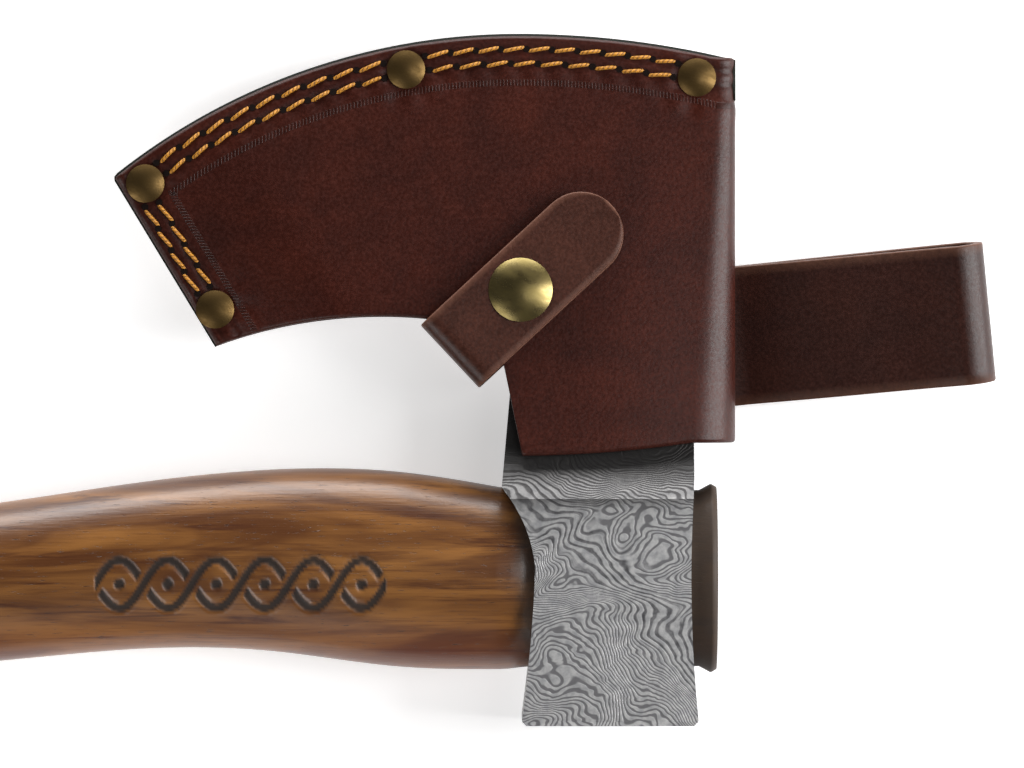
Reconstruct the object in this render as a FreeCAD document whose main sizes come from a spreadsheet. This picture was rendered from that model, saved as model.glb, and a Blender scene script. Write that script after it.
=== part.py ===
import FreeCAD, Part
# A one-hand bearded axe with its riveted leather sheath, lying on its side.
# Frame: origin on the resting cheek, under the centre of the eye. +X leaves the eye away from
# the grip, +Y runs from the poll to the cutting edge, and +Z is up. Lengths are millimetres.
import math
import os
import re

import Sketcher

Vector = FreeCAD.Vector

SIZES = [
    # head
    ("head_thickness", 32.0, "across the cheeks"),
    ("poll_left", 21.4, "eye centre to the poll's corner on the grip side"),
    ("poll_right", 20.2, "eye centre to the poll's other corner"),
    ("poll_reach", 34.1, "eye centre to the poll's face"),
    ("poll_bevel", 1.2, "chamfer round the poll's face"),
    ("side_radius", 320.0, "hollow of the head's sides"),
    ("waist_x", 18.1, "eye centre to the narrowest place on the grip side"),
    ("waist_y", 3.0, "height of that place"),
    ("lug_x", 25.9, "eye centre to the lug's tip"),
    ("lug_y", 21.6, "height of the lug's tip"),
    ("lug_radius", 34.0, "hollow under the lug"),
    ("toe_x", 19.2, "eye centre to the toe side of the blade"),
    ("toe_foot", 24.0, "height where the toe side becomes straight"),
    ("cheek_top", 19.0, "height where the flat cheek ends"),
    ("hollow_end", 35.0, "height where the hollow runs into the blade"),
    ("hollow_radius", 22.8, "hollow between the cheek and the blade"),
    ("blade_root_half", 7.6, "half thickness at the foot of the blade"),
    ("blade_bevel_half", 2.7, "half thickness where the edge bevel starts"),
    ("bevel_width", 18.0, "width of the edge bevel"),
    ("edge_half", 0.1, "half thickness of the cutting edge"),
    ("edge_reach", 116.2, "eye centre to the crown of the edge"),
    ("edge_radius", 140.5, "radius of the cutting edge"),
    ("crown_x", -22.0, "place of the edge's crown along the grip"),
    ("beard_x", -83.3, "tip of the beard, along the grip"),
    ("beard_y", 60.8, "tip of the beard, height"),
    ("heel_lean", 58.8, "lean of the heel side from the grip's line"),
    ("heel_half", 1.3, "half thickness along the heel side"),
    ("heel_run", 44.0, "distance over which the heel thickens"),
    ("heel_rise", 5.2, "growth of the half thickness over that distance"),
    ("heel_start", 46.0, "height where the heel's thinning starts"),
    ("arch_x", -41.0, "inner end of the beard's underside"),
    ("arch_y", 64.5, "height of that end"),
    ("arch_radius", 75.0, "arch of the beard's underside"),
    ("notch_x", -23.6, "foot of the notch behind the beard"),
    ("notch_y", 48.0, "height of that foot"),
    ("notch_radius", 30.0, "hollow of the notch"),
    # haft
    ("eye_length", 41.6, "length of the eye, poll to edge"),
    ("eye_width", 24.0, "width of the eye across the cheeks"),
    ("tenon_start", -26.4, "where the haft leaves the eye's shape"),
    ("stub_start", 20.6, "where the end of the haft starts to flare"),
    ("stub_flare_at", 23.4, "where that flare is widest"),
    ("stub_end", 24.8, "end of the haft above the eye"),
    ("stub_flare", 1.4, "growth of the end beyond the eye"),
    ("kerf_depth", 34.0, "depth of the saw cut for the wedge"),
    ("kerf_length", 36.0, "length of the cut across the haft"),
    ("kerf_mouth", 4.2, "opening of the cut at the haft's end"),
    ("kerf_root", 0.8, "opening of the cut at its bottom"),
    ("ring_wedge_mouth", 4.5, "radius of the round steel wedge at its head"),
    ("ring_wedge_root", 3.4, "radius of the round steel wedge at its point"),
    ("ring_wedge_depth", 15.0, "length of the round steel wedge"),
    ("haft_reach", 430.0, "eye centre to the butt"),
    # sheath
    ("leather_thick", 2.5, "sheath leather"),
    ("welt_thick", 3.0, "leather strip between the panels"),
    ("seam_margin", 11.5, "blade to the outside of the seam"),
    ("edge_gap", 2.5, "blade to the welt"),
    ("mouth_y", 29.0, "lowest corner of the mouth"),
    ("mouth_room", 1.9, "foot of the blade to the leather at the mouth"),
    ("mouth_left", 21.1, "eye centre to the mouth's corner on the grip side"),
    ("mouth_right_y", 33.8, "height of the mouth at the fold"),
    ("mouth_radius", 284.0, "sag of the mouth's edge"),
    ("fold_room", 10.0, "toe side of the blade to the outside of the fold"),
    ("crown_radius_toe", 214.5, "top of the sheath on the toe side"),
    ("rim_drop", 9.7, "top of the sheath down to where the panels part"),
    ("rim_ramp", 20.0, "distance over which the panels part at the heel"),
    ("throat_x", 25.4, "eye centre to the throat's inner corner"),
    ("throat_y", 50.1, "height of that corner"),
    ("throat_radius", 28.0, "hollow of the throat"),
    ("lip_x", 43.7, "eye centre to the end of the sheath's lower lip"),
    ("lip_y", 61.2, "height of that end"),
    ("lip_radius", 112.0, "arch of the sheath's lower lip"),
    # seam
    ("row_outer", 3.1, "top edge to the outer row of stitches"),
    ("row_inner", 6.5, "top edge to the inner row"),
    ("side_row_outer", 2.6, "heel edge to the outer row"),
    ("side_row_inner", 6.0, "heel edge to the inner row"),
    ("stitch_pitch", 6.2, "length of a stitch"),
    ("thread_radius", 0.5, "radius of the thread"),
    ("leg_radius", 0.45, "radius of the thread in its hole"),
    ("rivet_head", 4.5, "radius of a seam rivet's cap"),
    ("rivet_dome", 1.5, "height of a seam rivet's cap"),
    ("rivet_seat", 4.8, "radius of the dent that its cap presses into the leather"),
    ("rivet_shank", 1.4, "radius of a rivet's shank"),
    ("rivet_pin", 0.9, "radius of the pin inside the shank"),
    ("rivet_rim", 0.4, "thickness of a cap at its rim"),
    ("rivet_inset", 5.5, "top edge to the rivets"),
    ("side_rivet_inset", 4.2, "heel edge to the foot rivet"),
    ("side_rivet_rise", 7.4, "foot of the heel seam to its rivet"),
    ("toe_rivet_x", 20.0, "place of the rivet beside the fold"),
    ("middle_rivet_angle", 10.4, "angle from the crown to the middle rivet"),
    # strap and its snap
    ("strap_thick", 2.2, "strap leather"),
    ("strap_width", 20.0, "strap"),
    ("strap_lean", 43.0, "lean of the strap from the grip's line"),
    ("strap_gap", 2.4, "sheath to the strap, where the snap sits"),
    ("fold_gap", 0.3, "turning strap to the fixed one"),
    ("snap_x", -21.5, "centre of the snap, along the grip"),
    ("snap_y", 67.4, "centre of the snap, height"),
    ("strap_reach", 20.5, "snap to the strap's fold"),
    ("strap_tip", 19.4, "snap to the centre of the strap's round end"),
    ("strap_root_length", 27.0, "strap on the back of the sheath"),
    ("snap_radius", 7.5, "cap of the snap"),
    ("snap_dome", 2.4, "height of the cap"),
    ("socket_radius", 5.4, "socket under the strap"),
    ("socket_height", 1.6, "height of the socket"),
    ("spring_radius", 2.5, "radius of the spring ring in the socket"),
    ("spring_wire", 0.2, "radius of the spring's wire"),
    ("stud_radius", 1.7, "radius of the stud"),
    ("stud_height", 2.0, "height of the stud over the sheath"),
    ("stud_base", 4.2, "radius of the stud's foot"),
    ("eyelet_radius", 4.0, "radius of the eyelet's flange"),
    ("flange_thick", 0.6, "flanges of the stud and the eyelet"),
    ("strap_rivet_head", 4.0, "radius of a strap rivet's head"),
    ("strap_rivet_first", 7.0, "fold to the first strap rivet"),
    ("strap_rivet_step", 11.0, "first to second strap rivet"),
    ("flat_head", 0.8, "thickness of a flat rivet head"),
    # belt loop
    ("loop_thick", 2.2, "belt loop leather"),
    ("loop_width", 33.0, "belt loop"),
    ("loop_lean", 6.0, "lean of the belt loop"),
    ("loop_y", 57.0, "height of the loop where it leaves the sheath"),
    ("loop_reach", 60.8, "sheath to the end of the loop"),
    ("loop_root", 34.0, "loop behind the sheath"),
    ("loop_rise", 9.0, "how far the loop opens"),
    ("loop_part", 2.0, "sheath to where the loop's layers part"),
    ("loop_rivet_back", 16.0, "sheath's edge to the loop's rivets"),
    ("loop_rivet_spread", 9.0, "centre of the loop to each rivet"),
]

# Stations of the grip: place, centre height, depth along Y and thickness along Z. Places are
# distances from the eye, or from the butt for the stations of the hand's end.
FROM_EYE = [
    ("collar", 26.4, 0.0, 43.0, 27.6),
    ("shoulder", 50.0, 2.1, 46.0, 27.8),
    ("belly", 80.0, 4.2, 42.9, 27.2),
    ("neck", 112.0, 2.9, 39.3, 26.4),
    ("throat", 144.0, -0.8, 37.4, 25.8),
]
FROM_BUTT = [
    ("palm", 150.0, -13.0, 31.4, 25.0),
    ("hollow", 85.0, -10.5, 32.0, 26.0),
    ("swell", 38.0, -3.0, 37.0, 29.0),
    ("knob", 12.0, 3.5, 42.0, 32.0),
    ("butt", 0.0, 5.0, 36.0, 26.0),
]

MID = "(head_thickness / 2)"
EDGE_Y = "(edge_reach - edge_radius)"
TOP_Y = "(edge_reach + seam_margin)"
RIM_Y = f"({TOP_Y} - rim_drop)"
RIM_HALF = "(leather_thick + welt_thick / 2)"
MOUTH_HALF = "(blade_root_half + mouth_room + leather_thick)"
SLOPE = f"(({MOUTH_HALF} - {RIM_HALF}) / ({RIM_Y} - mouth_y))"
FOLD_X = "(toe_x + fold_room)"
OVERRUN = 9.0  # how far a cutting shape runs past what it cuts
PAST = 1.0  # how far a drill runs past a thin layer
TOUCH = 1e-6  # two points nearer than this are one

ALIAS = re.compile(r"[a-z]+(?:_[a-z]+)+")

doc = FreeCAD.newDocument("sheathed_axe")
sheet = doc.addObject("Spreadsheet::Sheet", "dims")


def fill_sheet():
    """Write every driving size, with its alias and a note, into the sheet."""
    rows = list(SIZES)
    for name, place, rise, depth, thick in FROM_EYE + FROM_BUTT:
        rows.append((f"{name}_place", place, f"place of the grip's {name}"))
        rows.append((f"{name}_rise", rise, f"centre height of the grip's {name}"))
        rows.append((f"{name}_depth", depth, f"depth of the grip's {name}"))
        rows.append((f"{name}_thick", thick, f"thickness of the grip's {name}"))
    for row, (name, value, note) in enumerate(rows, start=1):
        sheet.set(f"A{row}", note)
        sheet.set(f"B{row}", str(value))
        sheet.setAlias(f"B{row}", name)
    doc.recompute()


def bind(item, prop, formula):
    """Bind a property to a formula in the sheet's aliases."""
    item.setExpression(prop, ALIAS.sub(lambda word: "dims." + word.group(0), formula))


def size(formula):
    """The formula's value with the sheet as it stands."""
    return float(sheet.evalExpression(formula))


def heel_x(height, margin):
    """Where the line margin outside the heel side is at a height."""
    return f"(beard_x - ({margin}) / sin(heel_lean) - (({height}) - beard_y) / tan(heel_lean))"


def heel_corner(margin):
    """Where that line meets the edge's arc, grown by the same margin."""
    across = f"({heel_x('beard_y', margin)} - crown_x)"
    up = f"(beard_y - {EDGE_Y})"
    along = f"({up} * sin(heel_lean) - {across} * cos(heel_lean))"
    radius = f"(edge_radius + ({margin}))"
    run = f"(sqrt({along} ^ 2 - {across} ^ 2 - {up} ^ 2 + {radius} ^ 2) - {along})"
    return f"({heel_x('beard_y', margin)} - {run} * cos(heel_lean))", f"(beard_y + {run} * sin(heel_lean))"


def body_named(label):
    """A new, empty body."""
    body = doc.addObject("PartDesign::Body", label)
    body.Label = label
    return body


def new_sketch(body, name, plane, offset=("0", "0", "0")):
    """A sketch on one of the body's own planes, moved by formulas in the plane's axes."""
    sketch = body.newObject("Sketcher::SketchObject", name)
    origin_plane = next(item for item in body.Origin.OriginFeatures if item.Role == plane)
    sketch.AttachmentSupport = [(origin_plane, "")]
    sketch.MapMode = "FlatFace"
    for axis, formula in zip("xyz", offset):
        if formula != "0":
            bind(sketch, f"AttachmentOffset.Base.{axis}", formula)
    return sketch


def arc_edge(start, end, radius, side):
    """The shorter arc from start to end that bulges to the left or right of its way."""
    chord = end.sub(start)
    half = chord.Length / 2
    rise = radius - math.sqrt(radius ** 2 - half ** 2)
    normal = Vector(-chord.y, chord.x, 0).normalize()
    turn = 1 if side == "left" else -1
    return Part.Arc(start, (start + end) * 0.5 + normal * (turn * rise), end)


def add_outline(sketch, corners, tag="p"):
    """Close an outline through corners, with every place and radius bound to the sheet.

    A corner is (x, y), or (x, y, radius, side) when the edge that leaves it is an arc.
    """
    count = len(corners)
    first = sketch.GeometryCount
    points = [Vector(size(corner[0]), size(corner[1]), 0) for corner in corners]
    for index, corner in enumerate(corners):
        start, end = points[index], points[(index + 1) % count]
        if len(corner) == 2:
            sketch.addGeometry(Part.LineSegment(start, end))
        else:
            sketch.addGeometry(arc_edge(start, end, size(corner[2]), corner[3]))
    ends = []
    for index, start in enumerate(points):
        forward = sketch.getPoint(first + index, 1).distanceToPoint(start) < TOUCH
        ends.append((1, 2) if forward else (2, 1))
    for index in range(count):
        before = (index - 1) % count
        joint = (first + before, ends[before][1], first + index, ends[index][0])
        sketch.addConstraint(Sketcher.Constraint("Coincident", *joint))
    for index, corner in enumerate(corners):
        spot = (-1, 1, first + index, ends[index][0])
        add_bound(sketch, f"{tag}x{index}", corner[0], "DistanceX", *spot, points[index].x)
        add_bound(sketch, f"{tag}y{index}", corner[1], "DistanceY", *spot, points[index].y)
        if len(corner) > 2:
            add_bound(sketch, f"{tag}r{index}", corner[2], "Radius", first + index, size(corner[2]))


def add_bound(sketch, name, formula, *constraint):
    """Add one named constraint and bind it."""
    index = sketch.addConstraint(Sketcher.Constraint(*constraint))
    sketch.renameConstraint(index, name)
    bind(sketch, f"Constraints.{name}", formula)


def pad(body, sketch, length, midplane=False):
    """Pad a sketch by a bound length."""
    feature = body.newObject("PartDesign::Pad", sketch.Name + "_pad")
    feature.Profile = sketch
    feature.Midplane = midplane
    bind(feature, "Length", length)
    return feature


def cut(label, base, tool):
    """What is left of base once tool is taken away."""
    feature = doc.addObject("Part::Cut", label)
    feature.Base, feature.Tool = base, tool
    return feature


def common(label, base, tool):
    """What two shapes share."""
    feature = doc.addObject("Part::Common", label)
    feature.Base, feature.Tool = base, tool
    return feature


def fuse(label, shapes):
    """Several shapes made one."""
    feature = doc.addObject("Part::MultiFuse", label)
    feature.Shapes = shapes
    return feature


def group(label, shapes):
    """Separate solids under one name."""
    feature = doc.addObject("Part::Compound", label)
    feature.Links = shapes
    return feature


def lean_on(body, panel):
    """Place a body on the outside of the front or back panel, whose normal is its Z axis."""
    sign = "+" if panel == "front" else "-"
    turn = "-" if panel == "front" else ""
    body.Placement = FreeCAD.Placement(Vector(), FreeCAD.Rotation(Vector(1, 0, 0), 1))
    bind(body, "Placement.Base.y", "mouth_y")
    bind(body, "Placement.Base.z", f"{MID} {sign} {MOUTH_HALF}")
    bind(body, "Placement.Rotation.Angle", f"{turn}atan({SLOPE})")


def on_panel(height):
    """A height in the row frame, as a distance up a leaning panel."""
    return f"((({height}) - mouth_y) / cos(atan({SLOPE})))"


def turned(label, panel, spot, profile):
    """A round piece: a profile of (radius, level) turned about the panel's normal at a spot."""
    body = body_named(label)
    sketch = new_sketch(body, label + "_half", "XZ_Plane", (spot[0], "0", f"-({spot[1]})"))
    add_outline(sketch, profile)
    feature = body.newObject("PartDesign::Revolution", label + "_turn")
    feature.Profile = sketch
    feature.ReferenceAxis = (sketch, ["V_Axis"])
    feature.Angle = 360
    if panel:
        lean_on(body, panel)
    return body


def drill(label, panel, spot, radius, low, high):
    """A round cutting tool square to a panel, between two levels."""
    profile = [("0", low), (radius, low), (radius, high), ("0", high)]
    return turned(label, panel, spot, profile)


def rivet(name, panel, spot, head, outside, inside, dome, foot, outward=1):
    """A two-piece rivet and the hole for it.

    The cap stands on the level outside, and the foot under the level inside. Outward is the
    sense of the panel's normal in which the cap points. The cap's shank meets the foot's half
    way, and the foot's pin stands in the cap.
    """
    sense = "" if outward > 0 else "-"

    def level(text):
        return f"{sense}({text})"

    meet = f"({outside} + {inside}) / 2"
    pin_end = f"{outside} + rivet_rim"
    cap_profile = [
        ("0", level(f"{outside} + {dome}"), f"({head} ^ 2 + ({dome} - rivet_rim) ^ 2)"
         f" / (2 * ({dome} - rivet_rim))", "left" if outward > 0 else "right"),
        (head, level(f"{outside} + rivet_rim")),
        (head, level(outside)),
        ("rivet_shank", level(outside)),
        ("rivet_shank", level(meet)),
        ("rivet_pin", level(meet)),
        ("rivet_pin", level(pin_end)),
        ("0", level(pin_end)),
    ]
    foot_profile = [
        ("0", level(pin_end)),
        ("rivet_pin", level(pin_end)),
        ("rivet_pin", level(meet)),
        ("rivet_shank", level(meet)),
        ("rivet_shank", level(inside)),
        (head, level(inside)),
        (head, level(f"{inside} - rivet_rim")),
        (f"{head} - rivet_rim", level(f"{inside} - {foot}")),
        ("0", level(f"{inside} - {foot}")),
    ]
    cap = turned(name + "_cap", panel, spot, cap_profile)
    post = turned(name + "_post", panel, spot, foot_profile)
    low, high = (inside, outside) if outward > 0 else (outside, inside)
    margin = "rivet_rim"
    levels = (level(f"{low} - {margin}"), level(f"{high} + {margin}"))
    if outward < 0:
        levels = (level(f"{outside} + {margin}"), level(f"{inside} - {margin}"))
    return cap, post, drill(name + "_hole", panel, spot, "rivet_shank", *levels)


# ---- head ---------------------------------------------------------------------------------

def make_head():
    """Forged head: padded outline, hollowed cheeks, bevelled edge, thinned heel and oval eye."""
    body = body_named("axe_head")
    outline = new_sketch(body, "head_outline", "XY_Plane")
    toe_y = f"({EDGE_Y} + sqrt(edge_radius ^ 2 - (toe_x - crown_x) ^ 2))"
    add_outline(outline, [
        ("-poll_left", "-poll_reach"),
        ("poll_right", "-poll_reach", "side_radius", "left"),
        ("toe_x", "toe_foot"),
        ("toe_x", toe_y, "edge_radius", "right"),
        heel_corner("0"),
        ("beard_x", "beard_y", "arch_radius", "left"),
        ("arch_x", "arch_y", "notch_radius", "left"),
        ("notch_x", "notch_y"),
        ("-lug_x", "lug_y", "lug_radius", "left"),
        ("-waist_x", "waist_y", "side_radius", "left"),
    ])
    pad(body, outline, "head_thickness")

    side = new_sketch(body, "cheek_taper", "YZ_Plane")
    beyond = f"({TOP_Y} + {OVERRUN})"
    bevel_y = "(edge_reach - bevel_width)"
    for tag, sign, bulge in (("front", "+", "right"), ("back", "-", "left")):
        outside = f"({MID} {sign} ({MID} + {OVERRUN}))"
        add_outline(side, [
            ("cheek_top", f"{MID} {sign} {MID}", "hollow_radius", bulge),
            ("hollow_end", f"{MID} {sign} blade_root_half"),
            (bevel_y, f"{MID} {sign} blade_bevel_half"),
            (beyond, f"{MID} {sign} blade_bevel_half"),
            (beyond, outside),
            ("cheek_top", outside),
        ], tag)
    taper = body.newObject("PartDesign::Pocket", "cheek_taper_cut")
    taper.Profile = side
    taper.Type = "ThroughAll"
    taper.Midplane = True

    ring = new_sketch(body, "edge_bevel", "YZ_Plane", (EDGE_Y, "0", "crown_x"))
    for tag, sign in (("front", "+"), ("back", "-")):
        high = f"{MID} {sign} (blade_root_half + {OVERRUN})"
        add_outline(ring, [
            ("edge_radius - bevel_width", f"{MID} {sign} blade_bevel_half"),
            ("edge_radius", f"{MID} {sign} edge_half"),
            (f"edge_radius + {OVERRUN}", f"{MID} {sign} edge_half"),
            (f"edge_radius + {OVERRUN}", high),
            ("edge_radius - bevel_width", high),
        ], tag)
    bevel = body.newObject("PartDesign::Groove", "edge_bevel_cut")
    bevel.Profile = ring
    bevel.ReferenceAxis = (ring, ["V_Axis"])
    bevel.Angle = 360

    heel = new_sketch(body, "heel_taper", "XZ_Plane", ("0", "0", "-heel_start"))
    line = heel_x("heel_start", "0")
    for tag, sign in (("front", "+"), ("back", "-")):
        outside = f"{MID} {sign} ({MID} + {OVERRUN})"
        add_outline(heel, [
            (f"{line} - {OVERRUN}", f"{MID} {sign} heel_half"),
            (line, f"{MID} {sign} heel_half"),
            (f"{line} + heel_run", f"{MID} {sign} (heel_half + heel_rise)"),
            (f"{line} + heel_run", outside),
            (f"{line} - {OVERRUN}", outside),
        ], tag)
    thin = body.newObject("PartDesign::Pocket", "heel_taper_cut")
    thin.Profile = heel
    thin.UseCustomVector = True
    bind(thin, "Direction.x", "-cos(heel_lean)")
    bind(thin, "Direction.y", "sin(heel_lean)")
    bind(thin, "Direction.z", "0")
    bind(thin, "Length", f"({TOP_Y} - heel_start) / sin(heel_lean) + {OVERRUN}")

    eye = new_sketch(body, "eye_outline", "YZ_Plane")
    centre = Vector(0, size(MID), 0)
    long_end = centre + Vector(size("eye_length") / 2, 0, 0)
    short_end = centre + Vector(0, size("eye_width") / 2, 0)
    oval = eye.addGeometry(Part.Ellipse(long_end, short_end, centre))
    eye.exposeInternalGeometry(oval)
    eye.addConstraint(Sketcher.Constraint("Horizontal", oval + 1))
    add_bound(eye, "across", "0", "DistanceX", -1, 1, oval, 3, 0.0)
    add_bound(eye, "height", MID, "DistanceY", -1, 1, oval, 3, centre.y)
    add_bound(eye, "lengthwise", "eye_length", "Distance", oval + 1, size("eye_length"))
    add_bound(eye, "crosswise", "eye_width", "Distance", oval + 2, size("eye_width"))
    hole = body.newObject("PartDesign::Pocket", "eye_cut")
    hole.Profile = eye
    hole.Type = "ThroughAll"
    hole.Midplane = True
    doc.recompute()

    poll = [
        f"Edge{index}" for index, edge in enumerate(body.Shape.Edges, start=1)
        if edge.BoundBox.YMax < -size("poll_reach") + TOUCH
    ]
    bevels = body.newObject("PartDesign::Chamfer", "poll_bevels")
    bevels.Base = (hole, poll)
    bind(bevels, "Size", "poll_bevel")
    body.Tip = bevels
    return body


# ---- haft ---------------------------------------------------------------------------------

def oval(label, place, rise, depth, thick):
    """An upright oval across the haft."""
    ring = doc.addObject("Part::Ellipse", label)
    ring.Placement.Rotation = FreeCAD.Rotation(Vector(1, 1, 1), 120)
    bind(ring, "Placement.Base.x", place)
    bind(ring, "Placement.Base.y", rise)
    bind(ring, "Placement.Base.z", MID)
    bind(ring, "MajorRadius", f"({depth}) / 2")
    bind(ring, "MinorRadius", f"({thick}) / 2")
    return ring


def loft(label, sections, ruled):
    """A solid through sections."""
    feature = doc.addObject("Part::Loft", label)
    feature.Sections = sections
    feature.Solid = True
    feature.Ruled = ruled
    return feature


def wedge_shape(label):
    """The flat wooden wedge, thick at the haft's end, which is also the shape of its kerf."""
    block = doc.addObject("Part::Wedge", label)
    block.Placement.Rotation = FreeCAD.Rotation(Vector(0, 0, 1), 90)
    bind(block, "Placement.Base.x", "stub_end")
    bind(block, "Placement.Base.z", MID)
    limits = {
        "Xmin": "-kerf_length / 2", "Xmax": "kerf_length / 2",
        "X2min": "-kerf_length / 2", "X2max": "kerf_length / 2",
        "Zmin": "-kerf_mouth / 2", "Zmax": "kerf_mouth / 2",
        "Z2min": "-kerf_root / 2", "Z2max": "kerf_root / 2",
        "Ymin": "0", "Ymax": "kerf_depth",
    }
    for prop, formula in limits.items():
        bind(block, prop, formula)
    return block


def make_haft():
    """Curved grip with a tenon in the eye, spread by a wooden wedge and a round steel one."""
    flared = ("eye_length + 2 * stub_flare", "eye_width + 2 * stub_flare")
    tenon = loft("tenon", [
        oval("tenon_inner", "tenon_start", "0", "eye_length", "eye_width"),
        oval("tenon_outer", "stub_start", "0", "eye_length", "eye_width"),
        oval("stub_wide", "stub_flare_at", "0", *flared),
        oval("stub_face", "stub_end", "0", "eye_length + stub_flare", "eye_width + stub_flare"),
    ], ruled=True)
    places = [(name, f"-{name}_place") for name, *_ in FROM_EYE]
    places.append(("", ""))
    places += [(name, f"{name}_place - haft_reach") for name, *_ in FROM_BUTT]
    sections = []
    for name, place in places:
        if name:
            station = (f"{name}_rise", f"{name}_depth", f"{name}_thick")
            sections.append(oval(f"station_{name}", place, *station))
        else:
            between = [f"(throat_{what} + palm_{what}) / 2" for what in ("rise", "depth", "thick")]
            middle = "(palm_place - haft_reach - throat_place) / 2"
            sections.append(oval("station_middle", middle, *between))
    grip = loft("grip", sections[:-1], ruled=False)
    butt = loft("butt", sections[-2:], ruled=True)
    blank = fuse("haft_blank", [tenon, grip, butt])

    steel = doc.addObject("Part::Cone", "steel_wedge")
    steel.Placement.Rotation = FreeCAD.Rotation(Vector(0, 1, 0), -90)
    bind(steel, "Placement.Base.x", "stub_end")
    bind(steel, "Placement.Base.z", MID)
    bind(steel, "Radius1", "ring_wedge_mouth")
    bind(steel, "Radius2", "ring_wedge_root")
    bind(steel, "Height", "ring_wedge_depth")
    wood = wedge_shape("wedge_blank")
    haft = cut("haft", cut("haft_sawn", blank, wood), steel)
    wedge = cut("haft_wedge", common("wedge_trimmed", wood, blank), steel)
    return {"haft": haft, "haft_wedge": wedge, "steel_wedge": steel}


# ---- sheath -------------------------------------------------------------------------------

def pillow(label, wall):
    """The sheath's fullness, taken in by a wall: thick at the mouth and thin at the seam.

    Three sections joined by straight rulings give flat panels, a round fold that narrows
    upwards and a slope beside the heel seam.
    """
    body = body_named(label)
    heights = [f"(mouth_y - {OVERRUN})", RIM_Y, f"({TOP_Y} + {OVERRUN})"]
    sketches = []
    for number, height in enumerate(heights):
        wedge_half = f"({MOUTH_HALF} - ({height} - mouth_y) * {SLOPE})" if number < 2 else RIM_HALF
        full, thin = f"({wedge_half} - ({wall}))", f"({RIM_HALF} - ({wall}))"
        turn = f"({FOLD_X} - {wedge_half})"
        out = f"{heel_x(height, 'seam_margin')} - {OVERRUN}"
        seam, panel = heel_x(height, "edge_gap"), heel_x(height, "edge_gap - rim_ramp")
        sketch = new_sketch(body, f"{label}_{number}", "XZ_Plane", ("0", "0", f"-{height}"))
        add_outline(sketch, [
            (out, f"{MID} - {thin}"),
            (seam, f"{MID} - {thin}"),
            (panel, f"{MID} - {full}"),
            (turn, f"{MID} - {full}", full, "right"),
            (f"{turn} + {full}", MID, full, "right"),
            (turn, f"{MID} + {full}"),
            (panel, f"{MID} + {full}"),
            (seam, f"{MID} + {thin}"),
            (out, f"{MID} + {thin}"),
        ])
        sketches.append(sketch)
    feature = body.newObject("PartDesign::AdditiveLoft", label + "_loft")
    feature.Profile = sketches[0]
    feature.Sections = sketches[1:]
    feature.Ruled = True
    return body


def sheath_block():
    """A tall block with the sheath's outline."""
    body = body_named("sheath_block")
    sketch = new_sketch(body, "sheath_outline", "XY_Plane")
    toe_drop = f"sqrt(crown_radius_toe ^ 2 - ({FOLD_X} - crown_x) ^ 2)"
    foot_y = "(beard_y - seam_margin * cos(heel_lean))"
    add_outline(sketch, [
        (FOLD_X, "mouth_right_y"),
        (FOLD_X, f"{TOP_Y} - crown_radius_toe + {toe_drop}", "crown_radius_toe", "right"),
        ("crown_x", TOP_Y, "edge_radius + seam_margin", "right"),
        heel_corner("seam_margin"),
        (heel_x(foot_y, "seam_margin"), foot_y, "lip_radius", "left"),
        ("-lip_x", "lip_y", "throat_radius", "left"),
        ("-throat_x", "throat_y"),
        ("-mouth_left", "mouth_y", "mouth_radius", "right"),
    ])
    pad(body, sketch, "head_thickness")
    return body


def blade_room():
    """A tall block around the blade and the open side, whose outside is the seam."""
    body = body_named("blade_room")
    sketch = new_sketch(body, "room_outline", "XY_Plane")
    low = f"(mouth_y - {OVERRUN})"
    far = f"({FOLD_X} + {OVERRUN})"
    arc = "(edge_radius + edge_gap)"
    add_outline(sketch, [
        (far, low),
        (far, f"{EDGE_Y} + sqrt({arc} ^ 2 - ({far} - crown_x) ^ 2)", arc, "right"),
        heel_corner("edge_gap"),
        (heel_x(low, "edge_gap"), low),
    ])
    pad(body, sketch, "head_thickness")
    return body


def outer_half(x, y):
    """Half thickness of the sheath at a point, from the same sizes as its fullness."""
    rim, rise = size(RIM_HALF), size(RIM_Y)
    full = rim + max(0.0, (rise - y)) * size(SLOPE)
    lean = math.radians(size("heel_lean"))
    inside = (x - size("beard_x")) * math.sin(lean) + (y - size("beard_y")) * math.cos(lean)
    share = min(1.0, max(0.0, (inside + size("edge_gap")) / size("rim_ramp")))
    return rim + (full - rim) * share


def arc_points(radius, centre_y, start, end):
    """Evenly spaced stitch holes along an arc about the crown, between two angles."""
    count = max(1, round(abs(end - start) * radius / size("stitch_pitch")))
    steps = [start + (end - start) * index / count for index in range(count + 1)]
    return [(size("crown_x") + radius * math.sin(a), centre_y + radius * math.cos(a)) for a in steps]


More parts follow.
